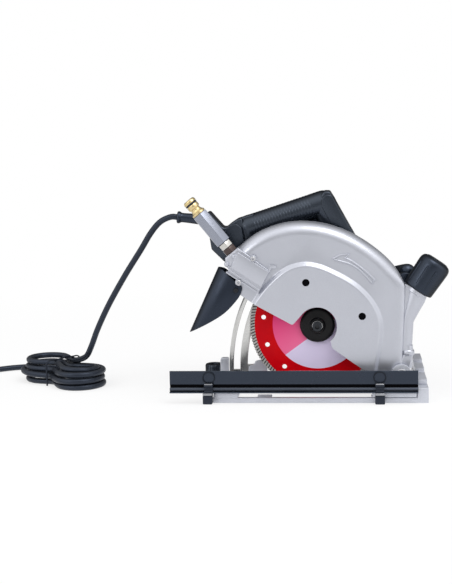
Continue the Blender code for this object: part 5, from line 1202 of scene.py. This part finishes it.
def make_stage():
    """Pale floor with the saw's shadow near it, white farther out."""
    bm = bmesh.new()
    bmesh.ops.create_grid(bm, x_segments=1, y_segments=1, size=14.0)
    mesh = mesh_of("floor", bm)
    made, tree, shader = new_material("pale_floor")
    fill(tree, shader, {"Base Color": (0.93, 0.93, 0.935), "Roughness": 1.0, "Specular IOR Level": 0.0})
    away = add(tree, "VectorMath", {0: object_place(tree)}, operation="LENGTH").outputs["Value"]
    far_out = spread(tree, away, 0.45, 1.1, 0.72, 1.0)
    rays = tree.nodes.new("ShaderNodeLightPath").outputs
    seen = math_of(tree, "MAXIMUM", rays["Is Camera Ray"], rays["Is Glossy Ray"])
    white = tree.nodes.new("ShaderNodeEmission").outputs[0]
    share = math_of(tree, "MULTIPLY", far_out, seen)
    mixed = add(tree, "MixShader", {0: share, 1: shader.outputs[0], 2: white}).outputs[0]
    fill(tree, tree.nodes["Material Output"], {"Surface": mixed})
    mesh.materials.append(made)
    in_scene("floor", mesh)


def make_light():
    """Studio, white to the camera: bright aslant in front, dimmer straight ahead, dark behind; two lamps."""
    surround = 1.45
    world = bpy.data.worlds.new("studio")
    bpy.context.scene.world = world
    world.use_nodes = True
    tree = world.node_tree
    heading = tree.nodes.new("ShaderNodeTexCoord").outputs["Generated"]
    depth = add(tree, "SeparateXYZ", {0: heading}).outputs["Y"]
    ramp = add(tree, "ValToRGB", {0: spread(tree, depth, -1.0, 1.0)})
    stops = ramp.color_ramp.elements
    shades = ((0.0, 0.31), (0.035, 0.38), (0.08, 0.60), (0.16, 0.90), (0.28, 1.0), (0.44, 0.84), (0.62, 0.48),
              (0.84, 0.22), (1.0, 0.10))
    for at, shade in shades:
        stop = stops.new(at) if 0.0 < at < 1.0 else stops[-int(at)]
        stop.color = (shade, shade, shade, 1.0)
    rays = tree.nodes.new("ShaderNodeLightPath").outputs
    seen = math_of(tree, "MAXIMUM", rays["Is Camera Ray"], rays["Is Transmission Ray"])
    around = math_of(tree, "MULTIPLY", ramp.outputs["Color"], surround)
    strength = spread(tree, seen, 0.0, 1.0, around, 1.0)
    fill(tree, tree.nodes["Background"], {"Color": WHITE, "Strength": strength})
    for name, place, aim, size, watts in (("overhead", (0.55, -0.7, 1.7), (0, 0, 0.1), 1.0, 8.5),
                                          ("front_left", (-1.5, -1.7, 1.1), (0, 0, 0.12), 0.6, 3.5)):
        lamp = bpy.data.lights.new(name, "AREA")
        lamp.size = size
        lamp.energy = watts
        obj = in_scene(name, lamp)
        obj.location = place
        obj.rotation_euler = (Vector(aim) - Vector(place)).to_track_quat("-Z", "Y").to_euler()


def make_camera():
    """Camera of the photograph: where it stood, how it was turned, and its lens in pixels of the picture."""
    stood_at, sensor, lens_px, picture_px = (0.0321, -1.6282, 0.3654), 36.0, 1212.0, 584.0
    yaw, pitch, roll = math.radians(5.5), math.radians(8.0), math.radians(-1.25)
    ahead = Vector((-math.sin(yaw) * math.cos(pitch), math.cos(yaw) * math.cos(pitch), -math.sin(pitch)))
    right = Vector((math.cos(yaw), math.sin(yaw), 0.0))
    up = right.cross(ahead)
    turn_right = right * math.cos(roll) + up * math.sin(roll)
    turn_up = up * math.cos(roll) - right * math.sin(roll)
    data = bpy.data.cameras.new("camera")
    data.lens = sensor * lens_px / picture_px
    data.sensor_width = sensor
    camera = in_scene("camera", data)
    axes = Matrix((turn_right, turn_up, -ahead)).transposed().to_4x4()
    camera.matrix_world = Matrix.Translation(stood_at) @ axes
    bpy.context.scene.camera = camera


def main():
    bpy.context.scene.view_settings.view_transform = "Standard"
    for make in (make_camera, make_stage, make_light, dress_solids, make_cord, make_guard, make_blade,
                 make_flange, make_feed, make_water_block, make_chute, make_handle, make_boot, make_front_arm,
                 make_knob, make_side_handle, make_rail, make_clips, make_base, make_knobs, make_motor):
        make()


main()
